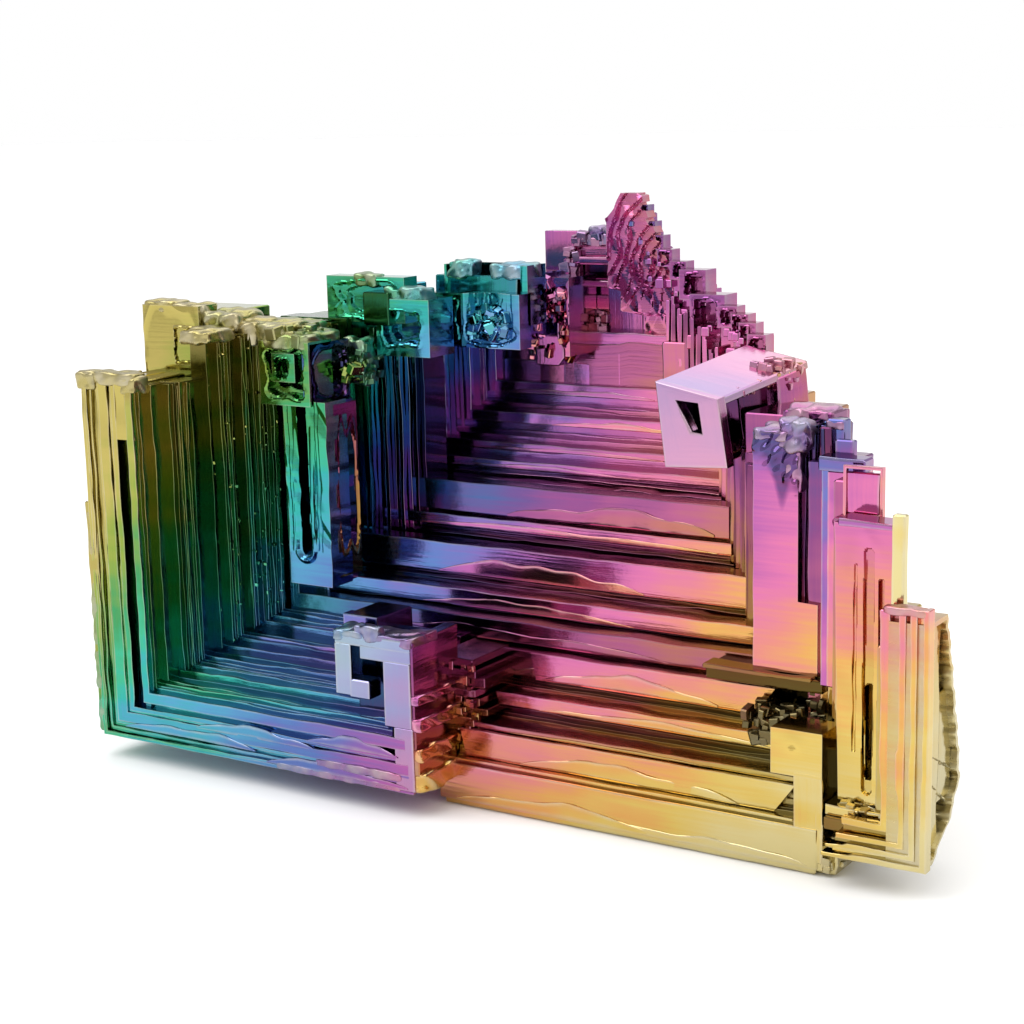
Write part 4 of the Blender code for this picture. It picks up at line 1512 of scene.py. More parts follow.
@dataclass
class RightPosts:
    """The right-hand posts and frames, each a step further right, forward and down."""

    inner: tuple[Slab, ...] = (
        Slab((9.0, 12.8), (7.7, 10.2), (8.0, 30.3), 0.0, 0.6),
        Slab((7.9, 11.1), (9.9, 14.5), (8.2, 29.6), 0.0, 0.5),
        # These ledges and the block below them are darkened with painted shade, as they lie in shadow.
        Slab((4.6, 13.6), (4.4, 9.0), (11.35, 12.3), -0.08, 1.0, Axis.ACROSS),
        Slab((4.4, 12.8), (4.3, 6.0), (12.1, 12.4), -0.06, 0.7, Axis.ACROSS),
        Slab((6.0, 13.0), (6.6, 12.0), (8.6, 11.4), -0.1, 1.1, Axis.ACROSS, 0.3),
        Slab((4.2, 9.4), (11.5, 18.3), (6.0, 29.3), 0.0, 0.5),
        Slab((1.6, 8.1), (14.4, 21.3), (5.0, 27.1), 0.0, 0.5),
    )
    violet: tuple[Slab, ...] = (
        Slab((13.4, 14.0), (4.4, 5.6), (12.0, 27.2), 0.17, bevel=0.06),
        Slab((13.9, 15.6), (4.2, 5.6), (12.0, 27.0), 0.04),
        Slab((13.3, 16.7), (3.9, 5.5), (27.0, 28.0), 0.15, 0.15, Axis.ACROSS, bevel=0.12),
        Slab((14.1, 15.5), (4.95, 5.6), (20.0, 29.0), 0.12, 0.3),
        Slab((12.8, 14.15), (6.4, 7.5), (20.0, 30.1), 0.14, 0.3, jump=0.08),
        Slab((12.2, 13.2), (7.2, 9.6), (20.0, 29.8), 0.14, 0.5),
        Slab((12.5, 13.4), (6.0, 9.6), (12.0, 29.6), 0.0, 0.88),
        Slab((12.0, 14.9), (5.3, 9.8), (9.1, 27.4), 0.1, 0.5),
        Slab((15.75, 18.1), (3.0, 3.5), (24.5, 27.3), 0.02),
        Slab((15.0, 18.55), (2.3, 3.3), (23.6, 24.3), 0.0, 0.25, Axis.ACROSS, bevel=0.2),
        Slab((14.75, 17.4), (3.25, 5.2), (8.3, 26.6), 0.0, 0.4),
        Slab((13.1, 16.0), (5.0, 8.9), (8.5, 25.5), 0.0, 0.3),
    )
    broad: tuple[Slab, ...] = (
        Slab((16.2, 20.0), (2.5, 3.05), (5.3, 24.5), -0.04, 0.1),
        Slab((19.9, 20.78), (0.7, 1.4), (6.0, 25.2), -0.3, jump=0.05, bevel=0.1),
        Slab((16.1, 20.0), (0.8, 2.8), (24.1, 24.55), 0.05, run=Axis.ACROSS, sway=0.06, bevel=0.12),
        Slab((15.2, 19.15), (2.7, 5.0), (5.5, 23.9), -0.04, 0.2),
        Slab((13.8, 17.75), (4.7, 8.6), (5.2, 23.0), -0.04, 0.2),
    )
    frame: tuple[Slab, ...] = (
        Slab((20.2, 22.7), (-0.2, 2.3), (2.7, 18.4), -0.04, 0.2),
        Slab((20.1, 22.6), (2.1, 4.7), (5.8, 13.2), -0.04, 0.3),
        Slab((19.1, 21.2), (0.4, 7.3), (3.5, 16.5), -0.04, 0.3),
        Slab((17.6, 20.4), (2.2, 4.8), (4.1, 18.5), -0.04, 0.3),
        Slab((15.6, 20.4), (0.2, 5.0), (4.5, 5.2), -0.06, 0.0, Axis.ACROSS, 0.12),
        Slab((15.7, 20.2), (-0.2, 5.0), (3.6, 4.5), 0.0, 0.8, Axis.ACROSS),
    )
    pink_left: float = 8.05
    pink_right: float = 11.42
    pink_face: float = 5.0
    pink_span: Span = (12.4, 29.15)
    foot_top: float = 17.45
    foot_right: float = 12.9
    broad_left: float = 16.2
    broad_right: float = 19.95
    broad_lean: float = 0.02
    broad_face: float = 1.0
    broad_span: Span = (5.4, 24.3)
    # Slots and grooves: depth, middle, half width, lower and upper end.
    broad_slots: tuple[tuple[float, float, float, float, float], ...] = (
        (0.9, 18.25, 0.2, 7.2, 13.4), (0.3, 18.25, 0.34, 6.4, 22.4),
        (0.4, 19.15, 0.16, 7.4, 20.6), (0.12, 17.3, 0.1, 9.0, 21.5))
    side_front: float = -0.85
    side_face: float = 23.05
    # The outer frame's strips, from outside inwards: edges, depths of the faces, tops and left ends.
    frame_edges: tuple[float, ...] = (0.0, 0.45, 0.8, 1.2, 1.6, 2.1, 2.7, 3.3)
    frame_relief: tuple[float, ...] = (0.0, 0.3, 0.05, 0.5, 0.15, 0.65, 0.25)
    frame_tops: tuple[float, ...] = (19.6, 19.5, 19.3, 19.2, 19.4, 19.2, 19.3)
    frame_ends: tuple[float, ...] = (15.9, 16.6, 16.2, 16.7, 16.9, 17.2, 17.2)
    # The open side's back edge: heights, and the y at each.
    side_heights: tuple[float, ...] = (2.2, 3.0, 4.2, 6.7, 9.5, 13.5, 18.6)
    side_depths: tuple[float, ...] = (0.6, 1.5, 3.6, 5.4, 5.0, 4.0, 2.6)
    hook: tuple[Slab, ...] = (
        Slab((13.4, 15.5), (0.03, 3.0), (0.9, 7.2), -0.07),
        Slab((15.0, 15.5), (0.08, 3.0), (0.4, 9.9), -0.07, bevel=0.05),
        # These blocks fill the dark hole, darkened with painted shade.
        Slab((13.9, 16.8), (1.8, 7.0), (0.9, 8.6), -0.1, 1.1),
        Slab((12.0, 14.2), (2.0, 6.0), (6.9, 9.6), -0.1, 1.1),
        Slab((14.3, 16.4), (0.6, 4.2), (0.05, 2.4), -0.1, jump=0.1),
    )
    rough: tuple[Crust | Lump, ...] = (
        Lump((8.0, 11.3), (4.9, 8.4), (28.6, 29.4), 0.2, 0.02),
        Lump((9.9, 12.1), (4.75, 6.6), (28.0, 30.0), 0.3, 0.04),
        Lump((10.6, 11.7), (4.9, 6.0), (25.0, 28.4), 0.2, 0.02),
        Lump((9.0, 12.6), (7.6, 10.0), (29.7, 30.5), 0.24, 0.02),
        Lump((12.8, 14.1), (6.4, 7.4), (29.4, 30.0), 0.1, 0.04),
        Lump((20.0, 23.1), (-1.1, 0.0), (19.1, 19.6), 0.08, -0.04),
        Crust((14.4, 16.4), (0.4, 3.4), (0.4, 2.4), 60, (0.3, 0.9), 0.2, -0.1),
        Crust((16.4, 20.4), (0.2, 2.6), (4.6, 5.1), 90, (0.2, 0.8), 0.3, -0.04),
        Crust((12.0, 14.6), (5.0, 7.6), (8.8, 12.4), 90, (0.25, 0.8), 0.3, -0.1, 0.75),
        Crust((8.6, 12.2), (2.8, 5.6), (8.0, 9.9), 120, (0.3, 1.0), 0.3, -0.1, 0.8),
    )

    def build(self, film: Material, crust: Material) -> None:
        """Make every post, from the pink one forward to the outermost frame.

        Args:
            film: the finish of the posts.
            crust: the finish of the rough growths.
        """
        grown(
            "right_posts", 61, film, self.pink_post, self.inner, self.violet, self.violet_rim,
            self.broad_post, self.broad)
        grown("outer_frame", 63, film, self.outer_frame, self.frame, self.hook_head, self.hook)
        grown("open_side", 64, crust, self.open_side)
        grown("right_post_crust", 62, crust, self.rough)

    def violet_rim(self, piece: Growth) -> None:
        """Add the thin ring on the violet post's top."""
        piece.rim((15.6, 18.4), (2.85, 3.3), (24.2, 27.75), 0.22, shift=-0.05, bevel=0.05)

    def pink_post(self, piece: Growth) -> None:
        """Add the flat pink post, wider at its foot, its lumpy crust and the dark flutes beside it.

        Args:
            piece: the mesh under construction.
        """

        def crust(x: Array, z: Array) -> Array:
            """Return the depth of the lumpy crust, which thins out towards its lower left.

            Args:
                x: places across the face.
                z: their heights.

            Returns:
                The depth at each place.
            """
            lumps = 0.16 * np.sin(3.1 * x + 1.7 * z) * np.sin(2.3 * z - 1.9 * x)
            lumps = lumps + 0.08 * np.sin(6.3 * x - 4.9 * z)
            thick = np.clip((z - 27.2 + 0.75 * (x - 8.0)) / 0.9, 0, 1)
            return self.pink_face + 0.25 * thick - thick * (0.42 + lumps) * 0.9

        def cover(x: Array, z: Array) -> Array:
            """Return 1 on the crust and 0 on the bare face, with an uneven edge between."""
            edge = 27.3 - 0.8 * (x - 8.0) - 1.6 * np.exp(-(((x - 10.2) / 0.5) ** 2)) + 0.3 * np.sin(3.0 * x)
            return np.clip((z - edge) / 1.2, 0, 1)

        sides = (
            lambda z: self.pink_left + 0.02 * np.sin(1.3 * z),
            lambda z: np.where(z < self.foot_top, self.foot_right, self.pink_right))
        piece.relief(
            sides, self.pink_span, crust, 9.0, (60, 230), shift=lambda x, z: 0.07 * cover(x, z),
            shade=lambda x, z: 0.55 * cover(x, z))
        # The flutes are darkened with painted shade.
        for k in range(6):
            x, y = 11.3 + 0.34 * k, 5.9 + 0.7 * (k % 2)
            piece.block(
                (x, x + 0.27), (y, y + 3.4), (17.3, 29.9 - 0.1 * k), bevel=0.04, shift=0.12,
                shade=(0.85, 0.5)[k % 2])

    def broad_post(self, piece: Growth) -> None:
        """Add the broad post's scooped face with its long slots.

        Args:
            piece: the mesh under construction.
        """

        def front(x: Array, z: Array) -> Array:
            """Return the depth of the face: a scoop, soft dents, and slots and a groove with rounded ends.

            Args:
                x: places across the face.
                z: their heights.

            Returns:
                The depth at each place.
            """
            scoop = 0.16 * np.exp(-(((x - 17.0) / 0.8) ** 2) - ((z - 22.6) / 1.5) ** 2)
            dents = 0.05 * np.sin(0.9 * z + 1.5 * np.sin(0.5 * z) + 1.3 * x)
            total = self.broad_face + scoop + dents
            for deep, middle, half, bottom, top in self.broad_slots:
                beyond = np.maximum(np.maximum(bottom - z, z - top), 0)
                total = total + deep * np.clip((half - np.hypot(x - middle, beyond)) / 0.07 + 0.5, 0, 1)
            return total

        low = self.broad_span[0]
        sides = (
            lambda z: self.broad_left - self.broad_lean * (z - low),
            lambda z: np.full_like(z, self.broad_right))
        # The slots are darkened with painted shade.
        piece.relief(sides, self.broad_span, front, 2.6, (64, 230), shift=-0.03, depth_shade=0.7)

    def outer_frame(self, piece: Growth) -> None:
        """Add the outermost frame's upright strips, which turn along the bottom bars.

        Args:
            piece: the mesh under construction.
        """
        edges = self.frame_edges
        for k in range(len(edges) - 1):
            x1, x0 = RIGHT - edges[k], RIGHT - edges[k + 1]
            z0, z1 = (2.1 + 0.85 * edge for edge in edges[k:k + 2])
            sunk, top, end = self.frame_relief[k], self.frame_tops[k], self.frame_ends[k]
            face = -1.05 + sunk
            piece.loft(
                [(end, face, z1), (x0, face, z1), (x0, face, top)],
                [(end, face, z0), (x1, face, z0), (x1, face, top)],
                (0.0, 0.95 - sunk, 0.0), bevel=0.05, sway=0.07, jump=0.1, spacing=0.4,
                shade=0.55 if sunk > 0.4 else 0.0, shift=-0.04 + (0.04 if k > 3 else 0.0))

    def open_side(self, piece: Growth) -> None:
        """Add the outer frame's open side: a bright rim round a rough hollow.

        Args:
            piece: the mesh under construction.
        """

        def far(z: Array) -> Array:
            """Return the uneven back edge of the open side."""
            edge = np.interp(z, self.side_heights, self.side_depths)
            return edge + 0.1 * np.sin(3.1 * z) + 0.06 * np.sin(7.3 * z + 1.0)

        def side(y: Array, z: Array) -> Array:
            """Return the depth of the open side: a rim, and a rough hollow split by slanting bars.

            Args:
                y: places across the side, from front to back.
                z: their heights.

            Returns:
                The depth at each place.
            """
            low, high = self.side_heights[0], self.side_heights[-1]
            rim = np.minimum.reduce([y - self.side_front, far(z) - y, z - low, high - z])
            hollow = np.clip((rim - 0.4) / 0.12, 0, 1)
            bar = np.clip(1 - np.abs(z - 8.6 + 0.5 * (y - 2.5)) / 0.5, 0, 1)
            bar = np.maximum(bar, np.clip(1 - np.abs(z - 6.4 + 0.7 * (y - 2.5)) / 0.35, 0, 1))
            rough = 0.35 * np.sin(4.0 * y + 2.2 * z) * np.sin(2.6 * z - 3.1 * y)
            rough = rough + 0.2 * np.sin(9.0 * z + 2.0 * y)
            return self.side_face - hollow * (1.2 + rough) * (1 - 0.8 * bar)

        span = (self.side_heights[0], self.side_heights[-1])
        edges = (lambda z: np.full_like(z, self.side_front), far)
        # The hollow is darkened with painted shade.
        piece.relief(edges, span, side, 20.4, (80, 190), side=True, shift=-0.04, depth_shade=0.85)

    def hook_head(self, piece: Growth) -> None:
        """Add the dimpled head of the hook-shaped block in front of the hollow's right end.

        Args:
            piece: the mesh under construction.
        """

        def dimple(x: Array, z: Array) -> Array:
            """Return the depth of the hook's head, with one shallow round dimple."""
            reach = np.hypot(x - 13.3, z - 9.2)
            return 0.14 * np.exp(-((reach / 0.6) ** 2))

        sides = (lambda z: np.full_like(z, 11.75), lambda z: np.full_like(z, 15.5))
        piece.relief(sides, (6.85, 10.05), dimple, 3.0, (60, 54), shift=-0.06)


@dataclass
class HiddenSides:
    """The guessed back, right side and underside of the crystal: stepped plates and flutes."""

    plates: int = 9
    plate_step: float = 0.4
    back: float = 26.4
    core: tuple[Slab, ...] = (
        Slab((-30.0, 11.0), (2.4, 24.0), (0.0, 5.2), -0.02, 0.1, Axis.ACROSS, 0.02),
        Slab((-34.0, 8.0), (4.4, 26.0), (2.7, 7.4), 0.0, 0.1, Axis.ACROSS),
        Slab((-31.1, 4.0), (10.4, 26.62), (5.3, 13.2), 0.0, 0.0, Axis.ACROSS),
        Slab((-29.0, -1.6), (16.5, 27.03), (8.5, 19.4), 0.0, 0.0, Axis.ACROSS),
    )
    # Faces that carry flutes: place of the face, span along it and heights.
    right_faces: tuple[tuple[float, Span, Span], ...] = (
        (18.9, (3.1, 5.0), (5.6, 23.8)), (17.5, (5.0, 8.5), (5.4, 22.9)),
        (15.75, (8.5, 8.9), (8.6, 25.4)), (14.65, (8.9, 9.8), (9.2, 27.2)),
        (10.85, (10.2, 14.5), (8.4, 29.4)), (9.15, (14.5, 18.3), (6.2, 29.1)),
        (7.9, (18.3, 21.3), (5.2, 26.9)), (20.95, (4.8, 7.2), (3.7, 16.3)))
    left_faces: tuple[tuple[float, Span, Span], ...] = (
        (-46.55, (-3.2, 1.4), (2.9, 18.6)), (-46.2, (-3.3, 4.3), (2.6, 30.4)),
        (-46.45, (4.4, 6.0), (20.4, 35.6)), (-46.15, (6.0, 11.2), (5.4, 35.2)))
    back_faces: tuple[tuple[float, Span, Span], ...] = (
        (8.35, (16.1, 17.7), (5.4, 22.9)), (8.65, (13.2, 16.0), (8.6, 25.4)),
        (14.25, (9.5, 11.0), (8.4, 29.4)), (18.05, (8.2, 9.3), (6.2, 29.1)),
        (21.05, (1.7, 8.0), (5.2, 26.9)), (4.75, (17.8, 19.1), (5.6, 23.8)),
        (7.05, (19.2, 21.1), (3.7, 16.3)))

    def build(self, film: Material) -> None:
        """Make the foot, the core under the ledges, the flutes and the back's nested plates.

        Args:
            film: the finish of the terraces.
        """
        grown("foot_and_core", 71, film, self.core, self.foot)
        grown("back_plates", 72, film, self.back_plates)

    def foot(self, piece: Growth) -> None:
        """Add the foot's thin layers, and flutes on every listed face.

        Args:
            piece: the mesh under construction.
        """
        rng = piece.rng
        for k in range(9):
            low = 0.25 + 0.55 * k
            z = (low, low + 0.45)
            inset = float(rng.uniform(0.0, 0.35))
            piece.block((-29.8 + inset, 10.9 - inset), (23.0, 24.3 - inset), z, Axis.ACROSS, jump=0.1)
            piece.block((10.0, 11.35 - inset), (2.6, 23.8), z, Axis.INWARD, jump=0.1)
        groups = {
            Facing.RIGHT: self.right_faces, Facing.BACK: self.back_faces, Facing.LEFT: self.left_faces}
        for way, faces in groups.items():
            for face, span, z in faces:
                self.flutes(piece, face, span, z, way)

    def back_plates(self, piece: Growth) -> None:
        """Add the back's nested plates, and the upright plates on the left wall's outer side.

        Args:
            piece: the mesh under construction.
        """
        rng = piece.rng
        for k in range(self.plates):
            spread = 1.25 * k
            jitter = rng.uniform(-0.8, 0.8, 4)
            x = (-35.2 + spread + jitter[0], 0.4 - spread + jitter[1])
            z = (9.0 + 0.8 * spread + jitter[2], 33.6 - 0.75 * spread + jitter[3])
            piece.block(
                x, (24.2, self.back + self.plate_step * k), z, Axis.ACROSS, sway=0.12, jump=0.3, bevel=0.08,
                shift=float(rng.uniform(-0.06, 0.06)), shade=0.45 if k % 2 else 0.0)
        places = 2.4 + np.cumsum(rng.uniform(0.2, 1.5, 29))
        for y in places[places < self.back]:
            outer = LEFT + 0.45 + 0.36 * (y - 2.0) + float(rng.uniform(-0.1, 0.45))
            top = (30.4 if y < 4.1 else 34.2) - float(rng.uniform(0.0, 2.4))
            low = 2.6 + 0.42 * y + float(rng.uniform(-0.6, 1.4))
            piece.block(
                (outer, outer + 4.0), (y, y + 2.2), (low, top), bevel=0.06, jump=0.08,
                shift=float(rng.uniform(-0.03, 0.03)), shade=float(rng.uniform(0.0, 0.3)))

    def flutes(self, piece: Growth, face: float, span: Span, z: Span, way: Facing) -> None:
        """Stand thin upright strips on a hidden face.

        Args:
            piece: the mesh under construction.
            face: the x of a face that looks right or left, or the y of one that looks back.
            span: where the strips stand along the face.
            z: span upward.
            way: the way the face looks.
        """
        rng = piece.rng
        place = span[0]
        while place < span[1] - 0.2:
            width = float(rng.uniform(0.25, 0.9))
            out = float(rng.uniform(0.02, 0.3))
            through = (face - out, face + 0.8) if way is Facing.LEFT else (face - 0.8, face + out)
            along_face = (place, min(place + width, span[1]))
            x, y = (along_face, through) if way is Facing.BACK else (through, along_face)
            low = z[0] + float(rng.uniform(0.0, 1.2))
            piece.block(x, y, (low, z[1] - float(rng.uniform(0.0, 0.8))), bevel=0.05, sway=0.03, jump=0.05)
            place += width + 0.05


class Nodes:
    """Makes the nodes of one material."""

    def __init__(self, tree: bpy.types.NodeTree) -> None:
        """Keep the tree that the nodes go in."""
        self.tree = tree

    def make(self, kind: str, settings: dict[str, Any] | None = None, **inputs: Any) -> bpy.types.Node:
        """Add a node.

        Args:
            kind: the node's type.
            settings: properties set before the sockets, with a ramp's stops under "stops".
            inputs: values or sockets by input name, with underscores for spaces, or by in and a number.

        Returns:
            The node.
        """
        node = self.tree.nodes.new(kind)
        for key, value in (settings or {}).items():
            if key == "stops":
                fill_ramp(node.color_ramp, value)
            else:
                setattr(node, key, value)
        for key, value in inputs.items():
            numbered = key.startswith("in") and key[2:].isdigit()
            self.join(value, node.inputs[int(key[2:]) if numbered else key.replace("_", " ")])
        return node

    def join(self, value: Any, socket: bpy.types.NodeSocket) -> None:
        """Link a socket or set a plain value.

        Args:
            value: what goes in: a Value, a socket or a plain value.
            socket: the input that takes it.
        """
        if isinstance(value, Value):
            value = value.socket
        if isinstance(value, bpy.types.NodeSocket):
            self.tree.links.new(value, socket)
        else:
            socket.default_value = value


@dataclass
class Value:
    """A number socket that takes part in Python expressions."""

    nodes: Nodes
    socket: bpy.types.NodeSocket

    def math(self, operation: str, left: Any, right: Any) -> "Value":
        """Add a Math node for one operation."""
        node = self.nodes.make("ShaderNodeMath", {"operation": operation}, in0=left, in1=right)
        return Value(self.nodes, node.outputs[0])

    def __add__(self, other: Any) -> "Value":
        """Return self + other."""
        return self.math("ADD", self, other)

    def __radd__(self, other: Any) -> "Value":
        """Return other + self."""
        return self.math("ADD", other, self)

    def __sub__(self, other: Any) -> "Value":
        """Return self - other."""
        return self.math("SUBTRACT", self, other)

    def __rsub__(self, other: Any) -> "Value":
        """Return other - self."""
        return self.math("SUBTRACT", other, self)

    def __mul__(self, other: Any) -> "Value":
        """Return self * other."""
        return self.math("MULTIPLY", self, other)

    def __rmul__(self, other: Any) -> "Value":
        """Return other * self."""
        return self.math("MULTIPLY", other, self)

    def clamped(self) -> "Value":
        """Return the value kept between 0 and 1."""
        node = self.nodes.make("ShaderNodeClamp", None, Value=self)
        return Value(self.nodes, node.outputs[0])


def fill_ramp(ramp: bpy.types.ColorRamp, stops: list[tuple[float, Point]]) -> None:
    """Set a colour ramp's stops.

    Args:
        ramp: the ramp.
        stops: a place and a colour for each stop.
    """
    while len(ramp.elements) > 1:
        ramp.elements.remove(ramp.elements[-1])
    ramp.elements[0].position = stops[0][0]
    ramp.elements[0].color = (*stops[0][1], 1.0)
    for place, colour in stops[1:]:
        ramp.elements.new(place).color = (*colour, 1.0)


@dataclass(frozen=True)
class OxideFilm:
    """Bright bismuth under an oxide film whose thickness falls from the left to the lower right."""

    name: str = Finish.FILM.value
    roughness: float = 0.09
    # Strength of the pale edges: thinner film there, and partly a painted highlight.
    pale_and_sheen: float = 0.42
    crust: float = 0.0
    pale: float = 0.0
    brightness: float = 0.72
    relief: float = 0.00006
    blotch_scale: float = 90.0
    fine_scale: float = 900.0
    band_scale: Point = (60.0, 150.0, 520.0)
    streak_scale: Point = (0.14, 4.5, 1.0)
    veil_colour: ClassVar[tuple[float, ...]] = (0.60, 0.47, 0.62, 1.0)
    # Pale colour of thin film on edges, of the crust, and of the painted edge highlight.
    pale_and_sheen_colour: ClassVar[tuple[float, ...]] = (0.78, 0.72, 0.62, 1.0)
    colours: ClassVar[list[tuple[float, Point]]] = [
        (0.00, (0.80, 0.68, 0.32)),
        (0.09, (0.80, 0.58, 0.15)),
        (0.16, (0.84, 0.43, 0.13)),
        (0.22, (0.83, 0.29, 0.24)),
        (0.30, (0.76, 0.20, 0.42)),
        (0.38, (0.50, 0.14, 0.42)),
        (0.45, (0.27, 0.15, 0.46)),
        (0.52, (0.13, 0.22, 0.55)),
        (0.59, (0.11, 0.40, 0.62)),
        (0.66, (0.05, 0.48, 0.44)),
        (0.70, (0.07, 0.52, 0.30)),
        (0.77, (0.07, 0.36, 0.13)),
        (0.87, (0.30, 0.40, 0.07)),
        (0.98, (0.56, 0.46, 0.13)),
    ]

    def make(self) -> Material:
        """Build the material.

        Returns:
            The material, driven by Object coordinates, the growth UV map and three attributes.
        """
        material = bpy.data.materials.new(self.name)
        material.use_nodes = True
        tree = material.node_tree
        nodes = Nodes(tree)
        surface = tree.nodes["Principled BSDF"]
        place = nodes.make("ShaderNodeTexCoord")
        spot = place.outputs["Object"]
        apart = nodes.make("ShaderNodeSeparateXYZ", None, Vector=spot)
        x, y, z = (Value(nodes, apart.outputs[k]) for k in range(3))
        grain = self.streaks(nodes, place)
        blotch = self.noise(nodes, spot, self.blotch_scale, 2.0)
        film, edge, shade = (
            Value(nodes, nodes.make("ShaderNodeAttribute", {"attribute_name": name}).outputs["Fac"])
            for name in ("film", "edge", "shade"))
        start = float(film_at(*ORIGIN))
        phase = x * (FILM_RIGHT / MM) + y * (FILM_INWARD / MM) + z * (FILM_UP / MM)
        bands = nodes.make(
            "ShaderNodeMapping", None, Vector=spot, Scale=self.band_scale, Rotation=(0.0, 0.05, 0.0))
        stripe = self.noise(nodes, bands.outputs["Vector"], 1.0, 2.0)
        phase = phase + start + film + (blotch - 0.5) * 0.22 + (grain - 0.5) * 0.08 + (stripe - 0.5) * 0.16
        ramp = nodes.make("ShaderNodeValToRGB", {"stops": self.colours}, Fac=phase)
        fine = self.noise(nodes, spot, self.fine_scale, 3.0)
        # Pale edges are partly thinner film and partly a painted highlight; the crust adds its own pale
        # colour.
        pale_and_sheen_mask = (edge * self.pale_and_sheen * (fine * 1.6 - 0.1) + self.crust * fine).clamped()
        hazy = blotch * self.pale + self.pale * 0.5
        veil = nodes.make(
            "ShaderNodeMix", {"data_type": "RGBA"}, Factor=hazy, in6=ramp.outputs["Color"],
            in7=self.veil_colour)
        mixed = nodes.make(
            "ShaderNodeMix", {"data_type": "RGBA"}, Factor=pale_and_sheen_mask, in6=veil.outputs[2], in7=self.pale_and_sheen_colour)
        # The shade attribute is painted shade that darkens the colour in recesses, slots, gaps and shadowed
        # faces; on the pink post's crust it is that crust's own darker colour.
        kept = self.brightness * (1.0 - shade * 0.85)
        dimmed = nodes.make(
            "ShaderNodeVectorMath", {"operation": "SCALE"}, Scale=kept, in0=mixed.outputs[2])
        nodes.join(dimmed.outputs[0], surface.inputs["Base Color"])
        rough = self.roughness + grain * 0.1 + pale_and_sheen_mask * 0.2
        nodes.join(rough.clamped(), surface.inputs["Roughness"])
        surface.inputs["Metallic"].default_value = 1.0
        height = grain * 0.6 + fine * 0.4
        bump = nodes.make("ShaderNodeBump", None, Strength=0.5, Distance=self.relief, Height=height)
        nodes.join(bump.outputs["Normal"], surface.inputs["Normal"])
        return material

    def noise(self, nodes: Nodes, vector: bpy.types.NodeSocket, scale: float, detail: float) -> Value:
        """Return a noise value from a vector."""
        node = nodes.make("ShaderNodeTexNoise", None, Vector=vector, Scale=scale, Detail=detail)
        return Value(nodes, node.outputs["Fac"])

    def streaks(self, nodes: Nodes, place: bpy.types.Node) -> Value:
        """Return fine streaks that run along each terrace."""
        across = nodes.make("ShaderNodeMapping", None, Vector=place.outputs["UV"], Scale=self.streak_scale)
        return self.noise(nodes, across.outputs["Vector"], 1.0, 4.0)


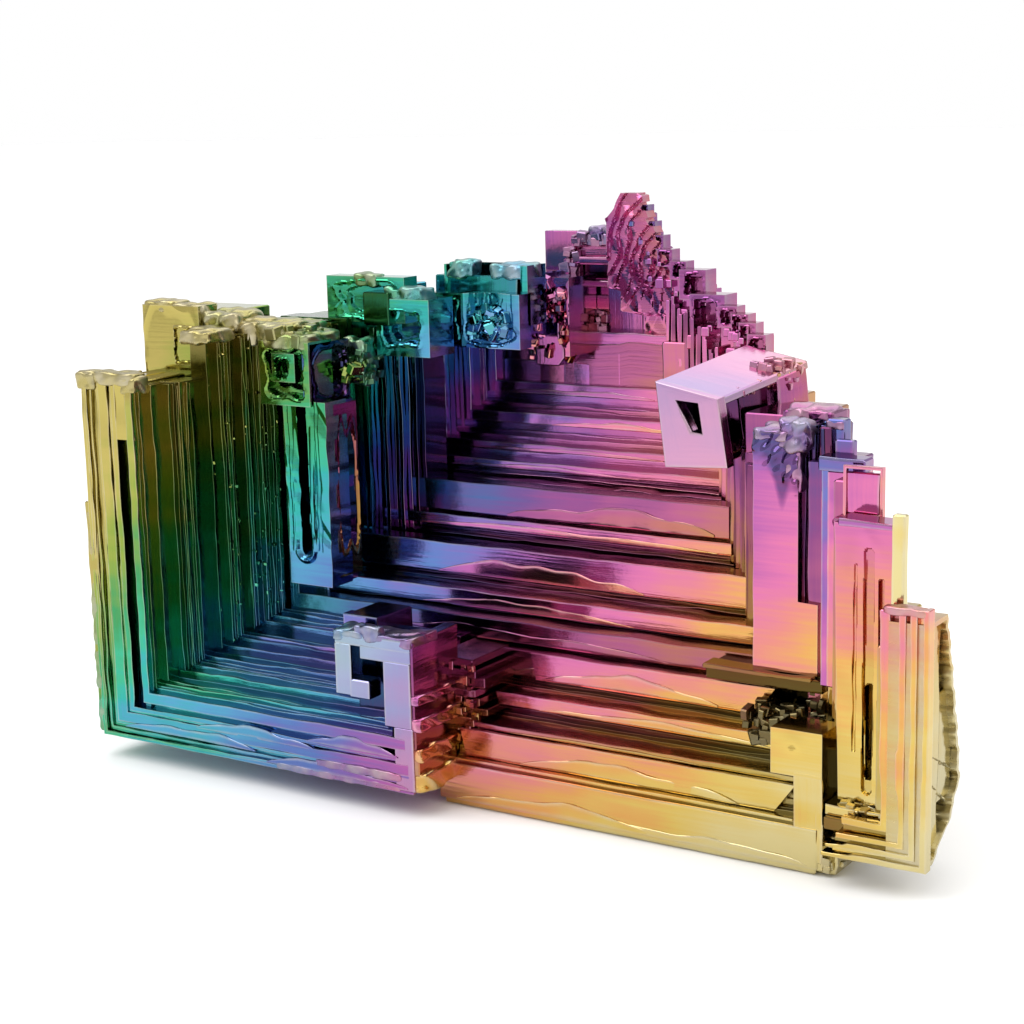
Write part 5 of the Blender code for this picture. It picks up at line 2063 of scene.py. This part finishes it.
@dataclass(frozen=True)
class Studio:
    """The pale floor, the soft lights and the camera at the photograph's viewing angle."""

    yaw: float = -32.8
    pitch: float = 11.5
    roll: float = 1.42
    lens: float = 70.0
    sensor: float = 36.0
    eye: Point = (66.86, -116.9, 51.27)
    target: Point = (0.0, 0.0, 0.018)
    floor_reach: float = 3.0
    sky: ClassVar[list[tuple[float, Point]]] = [
        (0.0, (1.0, 1.0, 1.0)),
        (0.3, (1.0, 1.0, 1.0)),
        (0.65, (0.5, 0.5, 0.52)),
        (1.0, (0.6, 0.6, 0.6)),
    ]

    def build(self) -> None:
        """Make the camera, the floor and the lights."""
        self.camera()
        self.floor()
        self.world()
        self.light("key_light", (-150.0, -160.0, 330.0), 0.30, 0.9)
        self.light("side_light", (300.0, 60.0, 240.0), 0.24, 0.4)
        self.high_light()

    def camera(self) -> None:
        """Place the camera from its three angles and its place in the crystal's axes."""
        yaw, pitch, roll = (math.radians(angle) for angle in (self.yaw, self.pitch, self.roll))
        flat = math.cos(pitch)
        forward = np.array([math.sin(yaw) * flat, math.cos(yaw) * flat, -math.sin(pitch)])
        level = np.array([math.cos(yaw), -math.sin(yaw), 0.0])
        down = np.cross(forward, level)
        right = math.cos(roll) * level + math.sin(roll) * down
        lower = -math.sin(roll) * level + math.cos(roll) * down
        matrix = np.eye(4)
        matrix[:3, 0] = right
        matrix[:3, 1] = -lower
        matrix[:3, 2] = -forward
        matrix[:3, 3] = (np.array(self.eye) - ORIGIN) * MM
        data = bpy.data.cameras.new("camera")
        data.lens = self.lens
        data.sensor_width = self.sensor
        data.clip_start = 0.005
        camera = bpy.data.objects.new("camera", data)
        camera.matrix_world = Matrix(matrix.tolist())
        bpy.context.scene.collection.objects.link(camera)
        bpy.context.scene.camera = camera

    def floor(self) -> None:
        """Make the plain pale floor."""
        reach = self.floor_reach
        mesh = bpy.data.meshes.new("floor")
        corners = [(-reach, -reach, 0.0), (reach, -reach, 0.0), (reach, reach, 0.0), (-reach, reach, 0.0)]
        mesh.from_pydata(corners, [], [(0, 1, 2, 3)])
        material = bpy.data.materials.new(Finish.FLOOR.value)
        material.use_nodes = True
        surface = material.node_tree.nodes["Principled BSDF"]
        surface.inputs["Base Color"].default_value = (0.93, 0.93, 0.93, 1.0)
        surface.inputs["Roughness"].default_value = 0.8
        mesh.materials.append(material)
        obj = bpy.data.objects.new("floor", mesh)
        bpy.context.scene.collection.objects.link(obj)

    def world(self) -> None:
        """Fill the room with pale light that falls off towards a dim ceiling."""
        world = bpy.data.worlds.new("studio")
        world.use_nodes = True
        nodes = Nodes(world.node_tree)
        direction = nodes.make("ShaderNodeTexCoord")
        apart = nodes.make("ShaderNodeSeparateXYZ", None, Vector=direction.outputs["Generated"])
        ramp = nodes.make("ShaderNodeValToRGB", {"stops": self.sky}, Fac=apart.outputs[2])
        background = world.node_tree.nodes["Background"]
        nodes.join(ramp.outputs["Color"], background.inputs["Color"])
        background.inputs["Strength"].default_value = 1.0
        bpy.context.scene.world = world
        bpy.context.scene.view_settings.view_transform = "Standard"

    def high_light(self) -> None:
        """Add a very soft far light that whitens the whole floor evenly."""
        data = bpy.data.lights.new("high_light", "SUN")
        data.angle = math.radians(70.0)
        data.energy = 1.5
        light = bpy.data.objects.new("high_light", data)
        light.matrix_world = Matrix.Rotation(math.radians(-25.0), 4, "X")
        bpy.context.scene.collection.objects.link(light)

    def light(self, name: str, place: Point, size: float, power: float) -> None:
        """Add one soft light that faces the crystal.

        Args:
            name: the light's name.
            place: where it stands, in millimetres.
            size: its side in metres.
            power: its power in watts.
        """
        data = bpy.data.lights.new(name, "AREA")
        data.size = size
        data.energy = power
        light = bpy.data.objects.new(name, data)
        where = (np.array(place) - ORIGIN) * MM
        away = where - np.array(self.target)
        back = away / np.linalg.norm(away)
        side = np.cross([0.0, 0.0, 1.0], back)
        side /= np.linalg.norm(side)
        matrix = np.eye(4)
        matrix[:3, 0] = side
        matrix[:3, 1] = np.cross(back, side)
        matrix[:3, 2] = back
        matrix[:3, 3] = where
        light.matrix_world = Matrix(matrix.tolist())
        bpy.context.scene.collection.objects.link(light)


def main() -> None:
    """Build the studio and the crystal round the frame."""
    logging.basicConfig(level=logging.INFO, format="%(name)s: %(message)s")
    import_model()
    Studio().build()
    film = OxideFilm().make()
    smooth = OxideFilm(Finish.SMOOTH.value, relief=0.00002, roughness=0.04).make()
    pale = OxideFilm(Finish.PALE.value, pale=0.5, relief=0.00003, roughness=0.1).make()
    crust = OxideFilm(
        Finish.CRUST.value, roughness=0.2, crust=0.32, relief=0.00005, brightness=0.62).make()
    FrontLeftFrame().build(film, pale, crust)
    LongLedges().build(film)
    CrestBlocks().build(smooth, crust)
    FarWall().build(film, crust)
    RightCrest().build(smooth, pale, crust)
    RightPosts().build(smooth, crust)
    HiddenSides().build(film)


if __name__ == "__main__":
    main()
